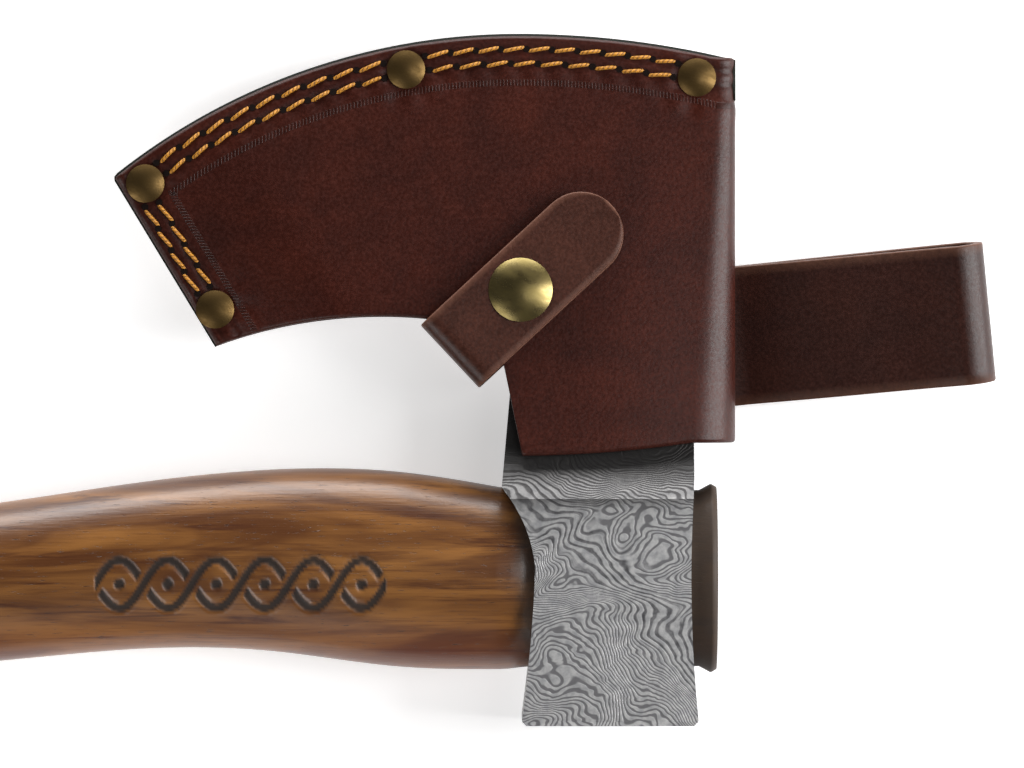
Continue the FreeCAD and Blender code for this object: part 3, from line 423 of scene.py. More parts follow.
@dataclass(frozen=True)
class Leather:
    """Dyed vegetable-tanned leather.

    Attributes:
        name: The material's name.
        dark, light: Ends of its mottling.
        raw: Its cut edges.
        rough: Its roughness.
        coat: Strength of its polish.
        ticks: Draws the row of tool marks along the seam.
        tick_pitch: Mark to mark, in millimetres.
        tick_inset: Seam edge to the row's middle, in millimetres.
        mark: Colour of the tool marks.
        groove: Colour of the painted shade in the grooves that the stitches lie in.
    """

    name: str
    dark: Colour
    light: Colour
    raw: Colour
    rough: float = 0.38
    coat: float = 0.1
    ticks: bool = False
    tick_pitch: float = 0.8
    tick_inset: float = 10.9
    mark: Colour = srgb(20, 8, 5)
    # Painted shade in the stitch grooves.
    groove: Colour = srgb(24, 9, 5)

    def make(self) -> bpy.types.Material:
        """Build the material.

        Returns:
            The material.
        """
        s = Shader(self.name)
        mottle = s.noise(s.scaled(14, 14, 14), 4, 0.6, 0.4)
        grain = s.noise(s.scaled(0.8, 0.8, 0.8), 5, 0.65)
        pores = s.cells(s.scaled(0.9, 0.9, 0.9))
        colour = s.mix(s.range(mottle, 0.25, 0.8), self.dark, self.light)
        fleck = s.range(grain, 0.35, 0.75, 0.72, 1.25)
        colour = s.tint(colour, fleck)
        relief = s.sum("ADD", s.sum("MULTIPLY", grain, 0.9), s.sum("MULTIPLY", pores, 0.5))
        if self.ticks:
            beat = s.sum("FRACT", s.sum("DIVIDE", s.mark("along"), self.tick_pitch))
            bar = s.range(s.sum("ABSOLUTE", s.sum("SUBTRACT", beat, 0.5)), 0.16, 0.3)
            away = s.sum("ABSOLUTE", s.sum("SUBTRACT", s.mark("inset"), self.tick_inset))
            tick = s.sum("MULTIPLY", bar, s.range(away, 0.5, 0.9, 1.0, 0.0))
            colour = s.mix(s.sum("MULTIPLY", tick, 0.4), colour, self.mark)
            relief = s.sum("SUBTRACT", relief, s.sum("MULTIPLY", tick, 1.5))
            # Painted shade darkens the stitch grooves.
            colour = s.mix(s.mark("dent"), colour, self.groove)
        edge = s.mark("raw")
        fibre = s.noise(s.scaled(1.6, 1.6, 0.5), 4, 0.6)
        colour = s.mix(s.sum("MULTIPLY", edge, s.range(fibre, 0.2, 0.7, 0.5, 1.0)), colour, self.raw)
        face = s.range(grain, 0.3, 0.7, self.rough - 0.06, self.rough + 0.1)
        rough = s.sum("ADD", face, s.sum("MULTIPLY", edge, 0.2))
        return s.finish(
            Base_Color=colour, Roughness=rough, Coat_Weight=self.coat, Coat_Roughness=0.32,
            Specular_IOR_Level=0.24, Normal=s.bump(relief, 0.06),
        )


@dataclass(frozen=True)
class Walnut:
    """Oiled walnut with its grain along the haft.

    Attributes:
        name: The material's name.
        lacquer: Strength of its finish.
        brown, pale: Ends of its broad colour waves.
        streak, fine: Colours of its wide and narrow streaks.
        red: Colour of its lower side.
        pore, scorched, burned: Colours of pores, of the collar and of the plait.
        collar: Where the scorch ends and where it is full, in millimetres.
        front: The same for the end past the head.
    """

    name: str
    lacquer: float = 0.24
    brown: Colour = srgb(84, 46, 15)
    pale: Colour = srgb(140, 92, 42)
    streak: Colour = srgb(66, 30, 10)
    fine: Colour = srgb(70, 34, 12)
    red: Colour = srgb(108, 46, 22)
    pore: Colour = srgb(44, 20, 8)
    scorched: Colour = srgb(46, 36, 27)
    burned: Colour = srgb(26, 15, 8)
    collar: tuple = (-25.0, -18.0)
    front: tuple = (16.0, 19.0)

    def make(self) -> bpy.types.Material:
        """Build the material.

        Returns:
            The material.
        """
        s = Shader(self.name)
        wave = s.noise(s.scaled(60, 9, 14), 3, 0.5, 1.2)
        streak = s.noise(s.scaled(46, 2.6, 5), 5, 0.62, 0.5)
        fine = s.noise(s.scaled(16, 0.5, 0.8), 3, 0.6)
        colour = s.mix(s.range(wave, 0.32, 0.68), self.brown, self.pale)
        colour = s.mix(s.range(streak, 0.5, 0.72), colour, self.streak)
        colour = s.mix(s.range(fine, 0.5, 0.8, 0.0, 0.5), colour, self.fine)
        low = s.range(s.axis("Y"), -6 * MM, -20 * MM, 0.0, 0.45)
        colour = s.mix(low, colour, self.red)
        pore = s.range(s.noise(s.scaled(3.2, 0.32, 0.5), 2, 0.5), 0.66, 0.72)
        colour = s.mix(s.sum("MULTIPLY", pore, 0.7), colour, self.pore)
        char = s.noise(s.scaled(5, 5, 5), 4, 0.6)
        edge = s.sum("ADD", s.axis("X"), s.sum("MULTIPLY", s.sum("SUBTRACT", char, 0.5), 9 * MM))
        front = s.range(s.axis("X"), self.front[0] * MM, self.front[1] * MM)
        collar = s.range(edge, self.collar[0] * MM, self.collar[1] * MM, 0.0, 0.88)
        scorch = s.sum("MAXIMUM", collar, front)
        colour = s.mix(s.sum("MULTIPLY", scorch, 0.92), colour, self.scorched)
        colour = s.mix(s.sum("MULTIPLY", s.mark("burn"), 0.95), colour, self.burned)
        dull = s.sum("MAXIMUM", s.mark("burn"), front)
        coat = s.range(dull, 0.0, 0.7, self.lacquer, 0.05)
        relief = s.sum("SUBTRACT", fine, s.sum("MULTIPLY", pore, 0.8))
        rough = s.range(dull, 0.0, 1.0, 0.36, 0.7)
        return s.finish(
            Base_Color=colour, Roughness=rough, Coat_Weight=coat, Coat_Roughness=0.2,
            Normal=s.bump(relief, 0.05),
        )


@dataclass(frozen=True)
class Damascus:
    """Pattern-welded steel, etched so that its layers stand out.

    Attributes:
        name: The material's name.
        drift: Layers in a metre along X and along Y, before they are counted up.
        fine, bold: What the layers are multiplied by, outside and inside the bold belt.
        belt: Half widths of the bold belt, in millimetres, where it is full and where it ends.
        bright: Ends of the bright layers' tone.
        dark, black: The dark layers, outside and inside the bold belt.
        worn: What the dark layers fade to.
        painted_shade: Colour of the painted shade that darkens the steel towards the sheath.
        step, shade: Heights in millimetres between which the painted shade darkens it, first fast and then
            slowly.
    """

    name: str
    drift: tuple = (150.0, 190.0)
    fine: float = 3.2
    bold: float = 1.5
    belt: tuple = (5.0, 11.0)
    bright: tuple = (srgb(158, 158, 160), srgb(196, 195, 194))
    dark: Colour = srgb(104, 103, 105)
    black: Colour = srgb(52, 51, 54)
    worn: Colour = srgb(112, 111, 113)
    # Painted shade: the dark colour mixed into the steel above the cheek.
    painted_shade: Colour = srgb(40, 38, 37)
    step: tuple = (15.5, 19.5)
    shade: tuple = (6.0, 34.0)

    def bands(self, s: Shader, field: Socket, width: float) -> Socket:
        """Dark and bright layers along the levels of a field.

        Args:
            s: The material's tree.
            field: The field, with one pair of layers for each whole number.
            width: The dark layer's share.

        Returns:
            Zero in the dark layers and one in the bright ones.
        """
        layer = s.sum("MULTIPLY", s.sum("FRACT", field), 2.0)
        hill = s.sum("SUBTRACT", 1.0, s.sum("ABSOLUTE", s.sum("SUBTRACT", layer, 1.0)))
        return s.range(s.sum("SUBTRACT", hill, width), -0.2, 0.2)

    def make(self) -> bpy.types.Material:
        """Build the material.

        Returns:
            The material.
        """
        s = Shader(self.name)
        roll = s.noise(s.scaled(34, 22, 30, -28), 1, 0.4, 0.8)
        twist = s.noise(s.scaled(8, 6, 12), 2, 0.4, 0.5)
        field = s.sum("ADD", s.sum("MULTIPLY", roll, 13.0), s.sum("MULTIPLY", twist, 1.6))
        drift = [s.sum("MULTIPLY", s.axis(name), rate) for name, rate in zip("XY", self.drift)]
        total = s.sum("ADD", field, s.sum("ADD", drift[1], drift[0]))
        fine = self.bands(s, s.sum("MULTIPLY", total, self.fine), 0.42)
        bold = self.bands(s, s.sum("MULTIPLY", total, self.bold), 0.4)
        slope = s.sum("ADD", s.axis("Y"), s.sum("MULTIPLY", s.axis("X"), 1.05))
        wobble = s.sum("MULTIPLY", s.sum("SUBTRACT", twist, 0.5), 18 * MM)
        near = s.sum("ABSOLUTE", s.sum("ADD", s.sum("SUBTRACT", slope, 1 * MM), wobble))
        here = s.range(near, self.belt[0] * MM, self.belt[1] * MM, 0.9, 0.0)
        elsewhere = s.sum("SUBTRACT", 1.0, here)
        line = s.sum("ADD", s.sum("MULTIPLY", bold, here), s.sum("MULTIPLY", fine, elsewhere))
        tone = s.noise(s.scaled(2.0, 2.0, 2.0), 4, 0.6)
        bright = s.mix(s.range(tone, 0.3, 0.7), *self.bright)
        deep = s.mix(here, self.dark, self.black)
        dark = s.mix(s.range(tone, 0.3, 0.7), deep, self.worn)
        colour = s.mix(line, dark, bright)
        # Painted shade: the steel darkens above the cheek's edge, fast at first and then slowly towards the
        # sheath.
        height = s.sum("ADD", s.axis("Y"), s.sum("MULTIPLY", s.sum("SUBTRACT", twist, 0.5), 5 * MM))
        step = s.range(height, self.step[0] * MM, self.step[1] * MM, 0.0, 0.5)
        slow = s.range(s.axis("Y"), self.shade[0] * MM, self.shade[1] * MM, 0.0, 0.5)
        colour = s.mix(s.sum("ADD", step, slow), colour, self.painted_shade)
        rough = s.range(line, 0.0, 1.0, 0.6, 0.42)
        return s.finish(
            Base_Color=colour, Metallic=0.55, Roughness=rough, Normal=s.bump(line, 0.04),
        )


@dataclass(frozen=True)
class Metal:
    """A plain metal.

    Attributes:
        name: The material's name.
        dark, light: Ends of its patina.
        rough: Its roughness.
        grain: Length in millimetres of its marks.
    """

    name: str
    dark: Colour
    light: Colour
    rough: float
    grain: float = 1.5

    def make(self) -> bpy.types.Material:
        """Build the material.

        Returns:
            The material.
        """
        s = Shader(self.name)
        stain = s.noise(s.scaled(self.grain * 2, self.grain, self.grain * 2, 25), 5, 0.65)
        colour = s.mix(s.range(stain, 0.34, 0.68), self.dark, self.light)
        rough = s.range(stain, 0.3, 0.7, self.rough + 0.1, self.rough - 0.06)
        return s.finish(Base_Color=colour, Metallic=1.0, Roughness=rough, Normal=s.bump(stain, 0.006))


@dataclass(frozen=True)
class Twine:
    """Waxed twisted thread.

    Attributes:
        name: The material's name.
        light, dark: The strands, and the painted shade in the furrows between them, which also darkens random
            fuzz.
        twists: Turns of the strands in one stitch.
        strands: How many there are.
    """

    name: str
    light: Colour
    dark: Colour
    twists: float = 5.0
    strands: float = 2.0

    def make(self) -> bpy.types.Material:
        """Build the material.

        Returns:
            The material.
        """
        s = Shader(self.name)
        around = s.sum("MULTIPLY", s.mark("around"), self.strands)
        turns = s.sum("ADD", s.sum("MULTIPLY", s.mark("along"), self.twists), around)
        beat = s.sum("ABSOLUTE", s.sum("SUBTRACT", s.sum("FRACT", turns), 0.5))
        # Painted shade: the furrows between the strands are darkened.
        ply = s.range(beat, 0.02, 0.28, 1.0, 0.0)
        fuzz = s.noise(s.scaled(0.3, 0.3, 0.3), 3, 0.6)
        colour = s.mix(s.sum("MULTIPLY", ply, 0.75), self.light, self.dark)
        colour = s.mix(s.range(fuzz, 0.4, 0.8, 0.0, 0.4), colour, self.dark)
        relief = s.sum("SUBTRACT", 1.0, ply)
        return s.finish(Base_Color=colour, Roughness=0.5, Normal=s.bump(relief, 0.12))


@dataclass(frozen=True)
class Plain:
    """An even finish.

    Attributes:
        name: The material's name.
        colour: Its colour.
        rough: Its roughness.
        grain: Length in millimetres of its faint texture.
    """

    name: str
    colour: Colour
    rough: float
    grain: float = 1.0

    def make(self) -> bpy.types.Material:
        """Build the material.

        Returns:
            The material.
        """
        s = Shader(self.name)
        cloud = s.noise(s.scaled(self.grain, self.grain, self.grain), 4, 0.6)
        level = s.range(cloud, 0.3, 0.7, 0.8, 1.1)
        colour = s.tint(self.colour, level)
        return s.finish(Base_Color=colour, Roughness=self.rough, Specular_IOR_Level=0.15)


SHEATH_LEATHER = Leather(
    "sheath_leather", srgb(50, 16, 8), srgb(66, 24, 13), srgb(54, 24, 16), rough=0.36, coat=0.08,
    ticks=True,
)
STRAP_LEATHER = Leather("strap_leather", srgb(58, 28, 18), srgb(72, 37, 26), srgb(112, 74, 58))
LOOP_LEATHER = Leather("loop_leather", srgb(42, 16, 9), srgb(54, 23, 14), srgb(96, 62, 46), coat=0.15)
WALNUT = Walnut("walnut")
STEEL = Damascus("pattern_steel")
THREAD = Twine("waxed_thread", srgb(204, 138, 36), srgb(112, 66, 14))
WELT_LEATHER = Plain("welt_leather", srgb(22, 24, 18), 0.6)
# Painted shade: dark discs stand in for the shade inside the stitch holes.
HOLE_SHADE = Plain("stitch_hole_shade", srgb(18, 8, 5), 0.9)
ANTIQUE_BRASS = Metal("antique_brass", srgb(84, 66, 38), srgb(110, 88, 54), 0.42, 2.5)
SNAP_BRASS = Metal("snap_brass", srgb(126, 112, 70), srgb(148, 132, 88), 0.3, 3.0)
SPRING_STEEL = Metal("spring_steel", srgb(110, 110, 112), srgb(180, 180, 182), 0.3)
WEDGE_STEEL = Metal("wedge_steel", srgb(70, 68, 66), srgb(130, 128, 126), 0.45)
WEDGE_WOOD = Plain("wedge_wood", srgb(74, 52, 32), 0.7, 2.0)


def dress(piece: bpy.types.Object, material: bpy.types.Material, body: str) -> None:
    """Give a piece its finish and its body.

    Args:
        piece: The piece.
        material: Its finish.
        body: The body it rides on.
    """
    piece.data.materials.clear()
    piece.data.materials.append(material)
    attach(piece, body)
    log.info("%s rides on %s in %s", piece.name, body, material.name)


# ---- repeated shapes ----------------------------------------------------------------------


class Repeat:
    """A tree of geometry nodes that sets one shape on every point of a mesh."""

    def __init__(self, name: str, sizes: dict[str, float]) -> None:
        """Start the tree and its inputs.

        Args:
            name: The tree's name.
            sizes: Named inputs and their values, in metres.
        """
        tree = bpy.data.node_groups.new(name, "GeometryNodeTree")
        self.graph = Graph(tree)
        self.sizes = sizes
        tree.interface.new_socket(name="Points", in_out="INPUT", socket_type="NodeSocketGeometry")
        for key in sizes:
            tree.interface.new_socket(name=key, in_out="INPUT", socket_type="NodeSocketFloat")
        tree.interface.new_socket(name="Seed", in_out="INPUT", socket_type="NodeSocketInt")
        tree.interface.new_socket(name="Finish", in_out="INPUT", socket_type="NodeSocketMaterial")
        tree.interface.new_socket(name="Result", in_out="OUTPUT", socket_type="NodeSocketGeometry")
        self.inputs = self.graph.add("NodeGroupInput").outputs

    def named(self, curve: Socket, name: str) -> Socket:
        """Store how far along a curve each point is.

        Args:
            curve: The curve.
            name: The attribute's name.

        Returns:
            The curve with the attribute.
        """
        factor = self.graph.add("GeometryNodeSplineParameter").outputs["Factor"]
        inputs = {"Geometry": curve, "Name": name, "Value": factor}
        kind = "GeometryNodeStoreNamedAttribute"
        return self.graph.add(kind, inputs, data_type="FLOAT", domain="POINT").outputs["Geometry"]

    def vector(self, x: Value = 0.0, y: Value = 0.0, z: Value = 0.0) -> Socket:
        """A vector from three numbers."""
        return self.graph.add("ShaderNodeCombineXYZ", {0: x, 1: y, 2: z}).outputs[0]

    def set_on(self, points: bpy.types.Object, shape: Socket, finish: bpy.types.Material) -> bpy.types.Object:
        """End the tree, run it once and keep its result as a plain mesh.

        Args:
            points: A mesh whose points hold the attribute "turn".
            shape: The shape to set on each point.
            finish: The material.

        Returns:
            The same object with the finished mesh.
        """
        g = self.graph
        turn = g.add("GeometryNodeInputNamedAttribute", {"Name": "turn"}, data_type="FLOAT_VECTOR")
        draws = {2: SPREAD[0], 3: SPREAD[1], "Seed": self.inputs["Seed"]}
        spread = g.add("FunctionNodeRandomValue", draws, data_type="FLOAT")
        placed = g.add("GeometryNodeInstanceOnPoints", {
            "Points": self.inputs["Points"],
            "Instance": shape,
            "Rotation": turn.outputs[0],
            "Scale": self.vector(spread.outputs[1], 1.0, 1.0),
        })
        real = g.add("GeometryNodeRealizeInstances", {0: placed.outputs[0]})
        soft = g.add("GeometryNodeSetShadeSmooth", {"Geometry": real.outputs[0]})
        dressed = {"Geometry": soft.outputs[0], "Material": self.inputs["Finish"]}
        done = g.add("GeometryNodeSetMaterial", dressed)
        g.add("NodeGroupOutput", {0: done.outputs[0]})
        modifier = points.modifiers.new("repeat", "NODES")
        modifier.node_group = g.tree
        values = {**self.sizes, "Seed": SEED, "Finish": finish}
        for item in g.tree.interface.items_tree:
            if item.in_out == "INPUT" and item.name in values:
                modifier[item.identifier] = values[item.name]
        bpy.context.view_layer.update()
        graph = bpy.context.evaluated_depsgraph_get()
        mesh = bpy.data.meshes.new_from_object(points.evaluated_get(graph), depsgraph=graph)
        points.modifiers.clear()
        points.data = mesh
        log.info("%s: %d faces", points.name, len(mesh.polygons))
        return points


def seeds(name: str, spots: list[tuple[Vector, Vector, Vector]]) -> bpy.types.Object:
    """A mesh of loose points that hold the turn of what is set on them.

    Args:
        name: The piece's name.
        spots: Place in millimetres, direction and normal of each.

    Returns:
        The object.
    """
    made = new_piece(name, np.array([tuple(place) for place, _, _ in spots]), [])
    layer = made.data.attributes.new("turn", "FLOAT_VECTOR", "POINT")
    turns = []
    for _, along, normal in spots:
        x = along.normalized()
        z = (normal - normal.project(x)).normalized()
        turns.append(tuple(Matrix((x, z.cross(x), z)).transposed().to_euler()))
    layer.data.foreach_set("vector", np.array(turns, np.float32).ravel())
    return made


# ---- haft and head ------------------------------------------------------------------------


@dataclass
class Haft:
    """Curved walnut grip whose tenon fills the eye.

    Attributes:
        stations: Place, centre height, depth and thickness of the grip's sections.
        butt: The same for its end.
        eye: Length and width of the tenon.
        tenon: Place of each tenon ring and how much deeper and thicker than the eye it is.
        plait_from, plait_to: Ends of the burned plait.
        plait_y: Height of its middle.
        plait_rise: Half its height.
        plait_turns: Number of whole twists.
        strand: Half width of a strand.
        recess: Depth of the burned lines.
        butt_rings: How far each ring of the rounded end is from the first section to the end, and
            its size as a share.
        around: Points round the haft.
        steps: Spacing of the sections behind the plait, in it and in front of it.
        facing: Sine of the turn from which the plait shows.
    """

    stations: tuple = (
        (-418.0, 3.5, 42.0, 32.0), (-392.0, -3.0, 37.0, 29.0), (-345.0, -10.5, 32.0, 26.0),
        (-280.0, -13.0, 31.4, 25.0), (-212.0, -6.9, 34.4, 25.4), (-144.0, -0.8, 37.4, 25.8),
        (-112.0, 2.9, 39.3, 26.4), (-80.0, 4.2, 42.9, 27.2), (-50.0, 2.1, 46.0, 27.8),
        (-26.4, 0.0, 43.0, 27.6),
    )
    butt: tuple = (-430.0, 5.0, 36.0, 26.0)
    eye: tuple = (41.6, 24.0)
    tenon: tuple = (
        (-24.4, 0.6, 1.6), (-22.0, 0.3, 1.5), (-20.0, 0.1, 1.0), (-18.0, 0.0, 0.0), (16.0, 0.0, 0.0),
        (20.6, 0.0, 0.0), (23.2, 1.4, 1.4), (23.6, 1.35, 1.35), (24.7, 0.7, 0.7),
    )
    plait_from: float = -121.0
    plait_to: float = -53.0
    plait_y: float = -1.0
    plait_rise: float = 5.6
    plait_turns: int = 3
    strand: float = 1.15
    recess: float = 0.5
    butt_rings: tuple = ((1.0, 0.9), (1.0, 0.97), (0.97, 1.0))
    around: int = 176
    steps: tuple = (2.4, 0.4, 1.4)
    facing: float = 0.15

    def plait(self, x: np.ndarray, y: np.ndarray) -> np.ndarray:
        """How deep the burned plait is at a place.

        Args:
            x, y: The place in millimetres.

        Returns:
            Shares from zero to one.
        """
        length = self.plait_to - self.plait_from
        share = (x - self.plait_from) / length
        turn = share * math.pi * 2 * self.plait_turns
        wave = self.plait_rise * np.sin(turn)
        slope = self.plait_rise * np.cos(turn) * math.pi * 2 * self.plait_turns
        tilt = np.sqrt(1 + (slope / length) ** 2)
        away = [np.abs(y - self.plait_y - sign * wave) / tilt for sign in (1, -1)]
        crossing = np.floor(turn / math.pi + 0.5).astype(int) % 2
        total = np.zeros_like(x)
        for number, distance in enumerate(away):
            line = smooth(self.strand, self.strand - 0.5, distance)
            gap = smooth(self.strand + 0.5, self.strand + 1.0, away[1 - number])
            total = np.maximum(total, line * np.where(crossing == number, 1.0, gap))
        middle = (np.floor(turn / math.pi) + 0.5) / (2 * self.plait_turns)
        centre = self.plait_from + middle * length
        dot = smooth(1.5, 1.0, np.hypot(x - centre, y - self.plait_y))
        inside = (share > 0) & (share < 1)
        return np.maximum(total, dot) * inside

    def build(self) -> bpy.types.Object:
        """Make the haft's mesh.

        Returns:
            The piece.
        """
        s = np.array(self.stations)
        behind, within, before = self.steps
        fine = np.arange(self.plait_from - 1, self.plait_to + 1, within)
        places = np.concatenate([
            np.arange(s[0, 0], fine[0] - 1, behind), fine,
            np.arange(fine[-1] + 1, s[-1, 0], before), [s[-1, 0]],
        ])
        rows = np.column_stack([places] + [spline(s[:, 0], s[:, i], places) for i in (1, 2, 3)])
        end = np.array(self.butt)
        tail = []
        for along, wide in self.butt_rings:
            row = s[0] + (end - s[0]) * along
            row[2:] *= wide
            tail.append(row)
        long, wide = self.eye
        head = [(place, 0.0, long + 2 * deep, wide + 2 * thick) for place, deep, thick in self.tenon]
        rows = np.vstack([tail, rows, head])
        turns = np.linspace(0, 2 * math.pi, self.around, endpoint=False)
        x = np.repeat(rows[:, :1], len(turns), axis=1)
        y = rows[:, 1:2] + rows[:, 2:3] / 2 * np.cos(turns)
        z = MID + rows[:, 3:4] / 2 * np.sin(turns)
        burn = self.plait(x, y) * (np.sin(turns) > self.facing)
        rings = np.stack([x, y, z - self.recess * burn], axis=2)
        return closed_tube("grip_and_tenon", rings, {"burn": burn})

    def dress(self) -> None:
        """Build the haft, finish it and its wedges."""
        piece = self.build()
        dress(piece, WALNUT.make(), "axe")
        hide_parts("haft")
        dress(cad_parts["haft_wedge"], WEDGE_WOOD.make(), "axe")
        dress(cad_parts["steel_wedge"], WEDGE_STEEL.make(), "axe")


@dataclass
class Head:
    """The forged head, shown as its solid.

    Attributes:
        node: The solid's name.
    """

    node: str = "axe_head"

    def dress(self) -> None:
        """Finish the head."""
        dress(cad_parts[self.node], STEEL.make(), "axe")


# ---- sheath -------------------------------------------------------------------------------


@dataclass
class Sheath:
    """Folded leather with a seam along its top and its heel.

    Attributes:
        crown: The seam edge's highest point.
        heel_radius, toe_radius: Radii of the seam edge on both sides of the crown.
        fold_x: Outside of the fold.
        foot: Lower end of the heel seam.
        lean: Lean of the heel seam in degrees.
        lip, throat, mouth: Corners of the open side.
        mouth_right: Height of the mouth at the fold.
        rim: Half thickness at the seam.
        slope: How fast the panels part below the rim.
        rim_y: Height where they start to part.
        ramp: Width of the slope beside the heel seam.
        roll: How much of their fullness the panels lose towards the fold.
        soft: How softly the slope beside the heel seam meets the panel.
        heel_inset: Heel seam's edge to where that slope starts.
        leather: Thickness of the leather.
        rows_top, rows_heel: Insets of the two stitch rows.
        rivets: Centres of the seam rivets.
        margin: Rivet centre to the nearest stitch.
        pitch: Stitch to stitch.
        thread: Radius of the thread.
        stitch: Half length, rise of the curve's middle knot and sunk depth of a stitch.
        slant: Turn of a stitch from its row, in degrees.
        hole: Radius of a dark disc of painted shade at each stitch hole, and how far it lies over the
            leather.
        tilt: Tilt of the panels in degrees, as the strap and the loop follow it.
        curves: Radii of the open side's heel curve, throat curve and mouth.
        columns, rows: Points of a panel's grid along and across it.
        rounding: Radius of the leather's outer edges.
        welt_edges: Insets of the welt's outer edge from the top and from the heel, and of its
            inner edge.
        welt_half: Half thickness of the welt.
    """

    crown: tuple = (-22.0, 127.7)
    heel_radius: float = 152.0
    toe_radius: float = 214.5
    fold_x: float = 29.2
    foot: tuple = (-93.1, 54.8)
    lean: float = 58.8
    lip: tuple = (-43.7, 61.2)
    throat: tuple = (-25.4, 50.1)
    mouth: tuple = (-21.1, 29.0)
    mouth_right: float = 33.8
    rim: float = 4.0
    slope: float = 0.0899
    rim_y: float = 118.0
    ramp: float = 20.0
    roll: float = 0.2
    soft: float = 0.04
    heel_inset: float = 9.0
    leather: float = 2.5
    rows_top: tuple = (3.1, 6.5)
    rows_heel: tuple = (2.6, 6.0)
    rivets: tuple = ((-109.8, 93.0), (-48.4, 119.8), (20.0, 117.9), (-93.4, 63.3))
    margin: float = 5.5
    pitch: float = 6.2
    thread: float = 0.44
    stitch: tuple = (2.6, 1.5, 0.35)
    slant: float = 11.0
    hole: tuple = (0.8, 0.3)
    tilt: float = 5.136
    curves: tuple = (112.0, 28.0, 284.0)
    columns: int = 160
    rows: int = 112
    rounding: float = 0.9
    welt_edges: tuple = (-0.7, -0.5, 8.6)
    welt_half: float = 1.48

    def from_heel(self, x: np.ndarray, y: np.ndarray) -> np.ndarray:
        """Distance in millimetres inward from the heel seam's edge."""
        lean = math.radians(self.lean)
        return (x - self.foot[0]) * math.sin(lean) + (y - self.foot[1]) * math.cos(lean)

    def from_top(self, x: np.ndarray, y: np.ndarray) -> np.ndarray:
        """Distance in millimetres inward from the top edge."""
        radius = np.where(x < self.crown[0], self.heel_radius, self.toe_radius)
        return radius - np.hypot(x - self.crown[0], y - (self.crown[1] - radius))

    def half(self, x: np.ndarray, y: np.ndarray) -> np.ndarray:
        """Half thickness of the plain form.

        Args:
            x, y: The place in millimetres.

        Returns:
            The half thickness.
        """
        fall = self.rim_y - y
        full = self.slope * (fall + np.sqrt(fall ** 2 + 4.0)) / 2
        full = full * (1 - self.roll * smooth(-12.0, self.fold_x, x) ** 2)
        share = (self.from_heel(x, y) - self.heel_inset) / self.ramp
        share = (share + 1 - np.sqrt((share - 1) ** 2 + self.soft)) / 2
        share = (share + np.sqrt(share ** 2 + self.soft / 4)) / 2
        return self.rim + full * share

    def dent(self, x: np.ndarray, y: np.ndarray) -> tuple[np.ndarray, np.ndarray]:
        """What the stitches and rivets press into the leather.

        Args:
            x, y: The place in millimetres.

        Returns:
            Depth in millimetres, and how dark the painted shade in the stitch grooves is.
        """
        top, heel = self.from_top(x, y), self.from_heel(x, y)
        depth, shade = np.zeros_like(x), np.zeros_like(x)
        beside_heel = heel - self.rows_heel[0] < top - self.rows_top[0]
        for inset_top, inset_heel in zip(self.rows_top, self.rows_heel):
            away = np.where(beside_heel, heel - inset_heel, top - inset_top)
            groove = np.exp(-(away / 0.75) ** 2)
            depth += 0.32 * groove
            # Painted shade that follows the stitch groove's depth.
            shade = np.maximum(shade, 0.35 * groove)
        for cx, cy in self.rivets:
            away = np.hypot(x - cx, y - cy)
            depth += 0.28 * np.exp(-(np.maximum(away - 4.0, 0) / 1.6) ** 2)
            turn = np.arctan2(y - cy, x - cx)
            depth += 0.16 * np.sin(turn * 7 + cx) * np.exp(-((away - 7.5) / 2.6) ** 2)
        wave = np.sin((x + 0.35 * y) / self.pitch * 2 * math.pi)
        depth += 0.1 * wave * np.exp(-((np.minimum(top - 9, heel - 8)) / 3.0) ** 2)
        return depth, shade

    def foot_at(self, inset_heel: float) -> np.ndarray:
        """Lower end of a line at a distance inside the heel seam."""
        lean = math.radians(self.lean)
        return np.array(self.foot) + inset_heel * np.array([math.sin(lean), math.cos(lean)])

    def corner(self, inset: float, inset_heel: float) -> np.ndarray:
        """Where a line inside the heel seam meets one inside the top edge.

        Args:
            inset: Distance inside the top edge.
            inset_heel: Distance inside the heel seam.

        Returns:
            The point.
        """
        lean = math.radians(self.lean)
        along = np.array([-math.cos(lean), math.sin(lean)])
        start = self.foot_at(inset_heel)
        centre = np.array([self.crown[0], self.crown[1] - self.heel_radius])
        gap, radius = start - centre, self.heel_radius - inset
        b = gap @ along
        return start + (-b + math.sqrt(b * b - gap @ gap + radius ** 2)) * along

    def top_path(self, inset: float, inset_heel: float) -> np.ndarray:
        """A line inside the top edge, from the corner to the fold.

        Args:
            inset: Distance inside the edge.
            inset_heel: Distance inside the heel seam where it starts.

        Returns:
            Points, one per row.
        """
        start = self.corner(inset, inset_heel)
        crown = (self.crown[0], self.crown[1] - inset)
        radius = self.toe_radius - inset
        drop = math.sqrt(radius ** 2 - (self.fold_x - self.crown[0]) ** 2)
        end = (self.fold_x, self.crown[1] - self.toe_radius + drop)
        left = arc(start, crown, self.heel_radius - inset, "left", 60)
        right = arc(crown, end, radius, "left", 40)
        return np.vstack([left, right[1:]])

    def seam_path(self, inset: float, inset_heel: float) -> np.ndarray:
        """Points of a line inside the whole seam, from the foot to the fold."""
        return np.vstack([self.foot_at(inset_heel), self.top_path(inset, inset_heel)])

